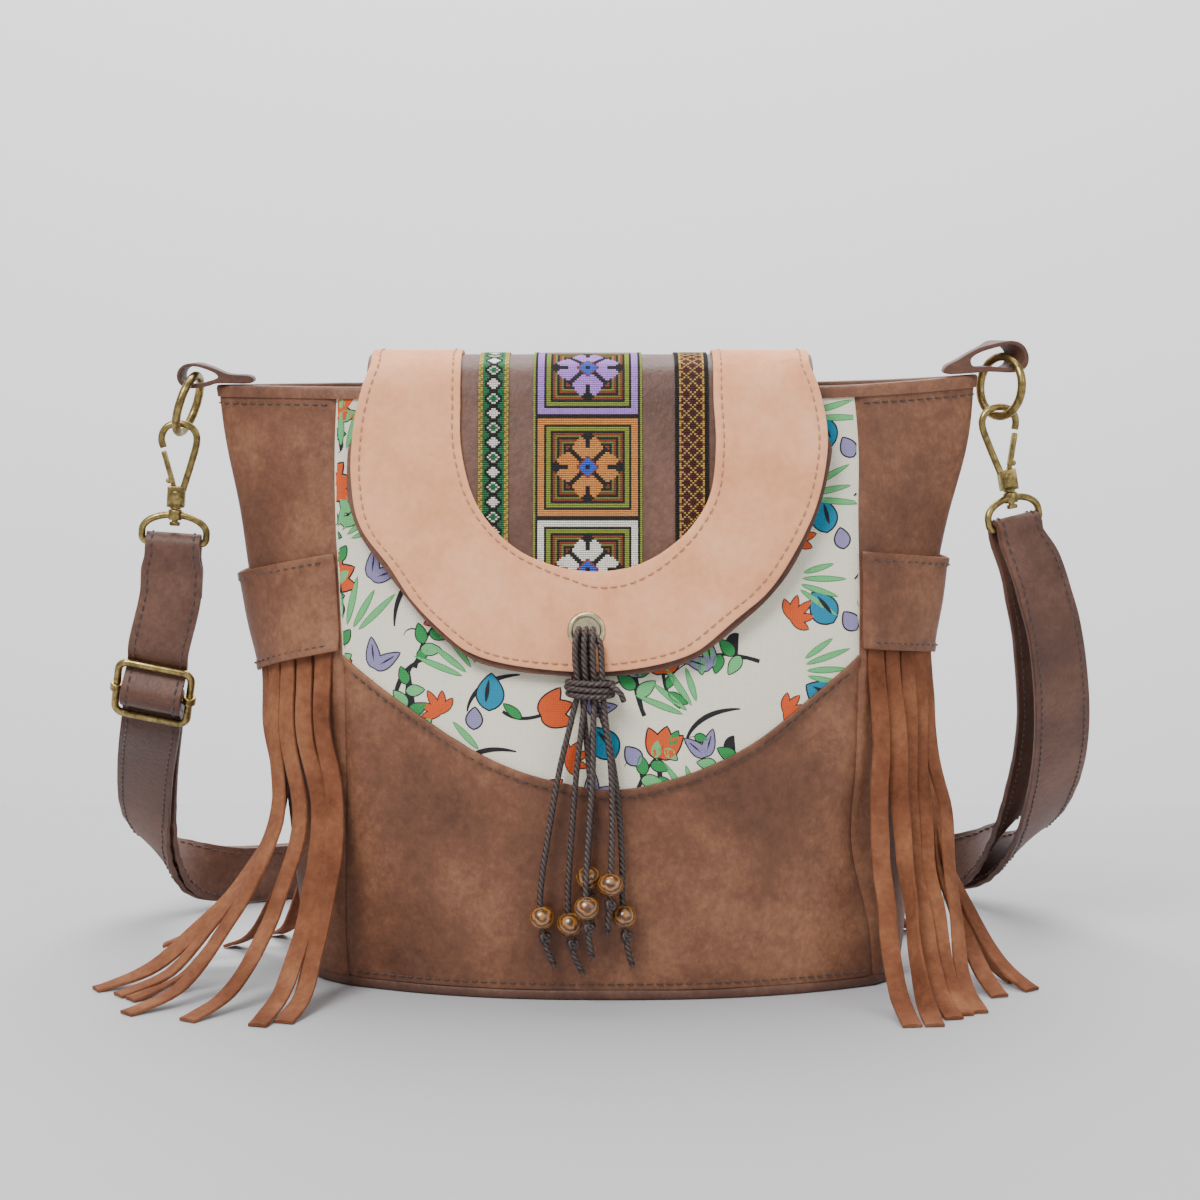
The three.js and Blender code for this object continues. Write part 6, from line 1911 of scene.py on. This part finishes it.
def woven(table):
    return [(slider_frame @ Vector((0, along * SLIDER_HALF_HEIGHT, -depth * STRAP_PITCH)),
             slider_frame.col[0].xyz, STRAP_WIDTH) for along, depth in table]


def strap_key_stations():
    run = Route([row[:3] for row in STRAP_RUN])
    shares = [i / (len(STRAP_RUN) - 1) for i in range(len(STRAP_RUN))]
    sides = [list(zip(shares, [row[column] for row in STRAP_RUN])) for column in (3, 4, 5, 6)]
    outer, inner = [], []
    for i in range(2 * (len(STRAP_RUN) - 1) + 1):
        share = i / (2 * (len(STRAP_RUN) - 1))
        across = Vector([smooth_read(column, share, 1) for column in sides[:3]]).normalized()
        inward = across.cross(run.along(share)).normalized()
        outer.append((run.at(share), across, STRAP_WIDTH))
        inner.append((run.at(share) + inward * smooth_read(sides[3], share, 1), across, STRAP_WIDTH))
    sewn = STRAP_PITCH / 2 + 0.05

    def left_end(back, y):
        return (left_swivel_frame @ Vector((0, y, -back)), left_swivel_frame.col[0].xyz, STRAP_WIDTH)

    return [left_end(sewn, -38), left_end(sewn, -27), *over_bar(left_swivel_frame, 1, 1), left_end(-sewn,
                                                                                                   -27),
            left_end(-sewn, -38), *woven(OUTER_WEAVE), *outer, *over_bar(right_swivel_frame, -1, -1),
            *inner[::-1], *woven(INNER_WEAVE)]


strap_keys = strap_key_stations()
strap_route = Route([at for at, across, wide in strap_keys])
last_key = len(strap_keys) - 1
strap_shares = strap_route.evenly(2.2)
strap_centres, strap_sides, strap_widths = [], [], []
for share in strap_shares:
    place = min(share * last_key, last_key - 1e-6)
    i = int(place)
    (_, side_a, wide_a), (_, side_b, wide_b) = strap_keys[i], strap_keys[i + 1]
    blend = smoothstep(place - i, 0, 1)
    strap_centres.append(strap_route.at(share))
    strap_sides.append(side_a.lerp(side_b, blend))
    strap_widths.append(wide_a + (wide_b - wide_a) * blend)
strap_stations = framed(strap_centres, strap_sides, strap_widths)
strap_length = sum((b - a).length for a, b in zip(strap_centres, strap_centres[1:]))
points, faces, places = strap_points(strap_stations, STRAP_WIDTH, STRAP_THICKNESS, edge=0.3)
strap = turn_outward(mesh_piece("strap_leather", points, faces, places))
hand_over(strap, STRAP_LEATHER, ["strap"], smooth_angle=50)

strap_rows = []
for face in (-1, 1):
    for inset in (-1, 1):
        row = [at + side * inset * (wide / 2 - 2.8) + up * face * (STRAP_THICKNESS / 2 + 0.1)
               for at, side, up, wide in strap_stations]
        strap_rows.append(stitch_row(row, [up * face for at, side, up, wide in strap_stations]))
sew("strap_thread", strap_rows)
print("strap length, mm:", round(strap_length))

# %% [markdown]
# ## Stage and light
# A pale table ends a little way behind the bag, and a near-white backdrop stands behind it. One large soft
# light hangs above on the left, a weaker one fills from the right, and the world is a soft grey-white.

# %% Stage, lights and camera
TABLE_BACK = 0.381


def plain_stage(name, code, roughness=0.6, glow=0.0):
    made, tree, shader = start_material(name, roughness, Emission_Strength=glow)
    shader.inputs["Base Color"].default_value = colour(code)
    shader.inputs["Emission Color"].default_value = colour(code)
    return made


def add_rectangle(name, corners, material):
    mesh = bpy.data.meshes.new(name)
    mesh.from_pydata([Vector(corner) for corner in corners], [], [(0, 1, 2, 3)])
    sheet = bpy.data.objects.new(name, mesh)
    bpy.context.collection.objects.link(sheet)
    sheet.data.materials.append(material)
    return sheet


add_rectangle("table", [(-3, -3, 0), (3, -3, 0), (3, TABLE_BACK, 0), (-3, TABLE_BACK, 0)],
              plain_stage("painted_table", "#b6b6b8"))
add_rectangle("backdrop", [(-4, 1.2, -1.5), (4, 1.2, -1.5), (4, 1.2, 3), (-4, 1.2, 3)],
              plain_stage("paper_backdrop", "#fafafd", 0.9, glow=0.24))


def soft_light(name, at, aim, size, power):
    light = bpy.data.lights.new(name, "AREA")
    light.shape = "DISK"
    light.size = size
    light.energy = power
    lamp = bpy.data.objects.new(name, light)
    bpy.context.collection.objects.link(lamp)
    place = Vector(at)
    turn = (Vector(aim) - place).to_track_quat("-Z", "Y").to_matrix().to_4x4()
    lamp.matrix_world = Matrix.Translation(place) @ turn
    return lamp


soft_light("key_light", (-0.7, -1.3, 1.7), (0, 0, 0.1), 1.0, 46)
soft_light("fill_light", (1.3, -1.1, 0.9), (0, 0, 0.1), 1.4, 9)
soft_light("back_light", (0, 0.75, 1.7), (0, 1.2, 0.1), 1.6, 44)

world = bpy.data.worlds.new("studio")
world.use_nodes = True
world.node_tree.nodes["Background"].inputs["Color"].default_value = colour("#f2f3f6")
world.node_tree.nodes["Background"].inputs["Strength"].default_value = 0.55
bpy.context.scene.world = world
bpy.context.scene.camera = camera
print("stage set")
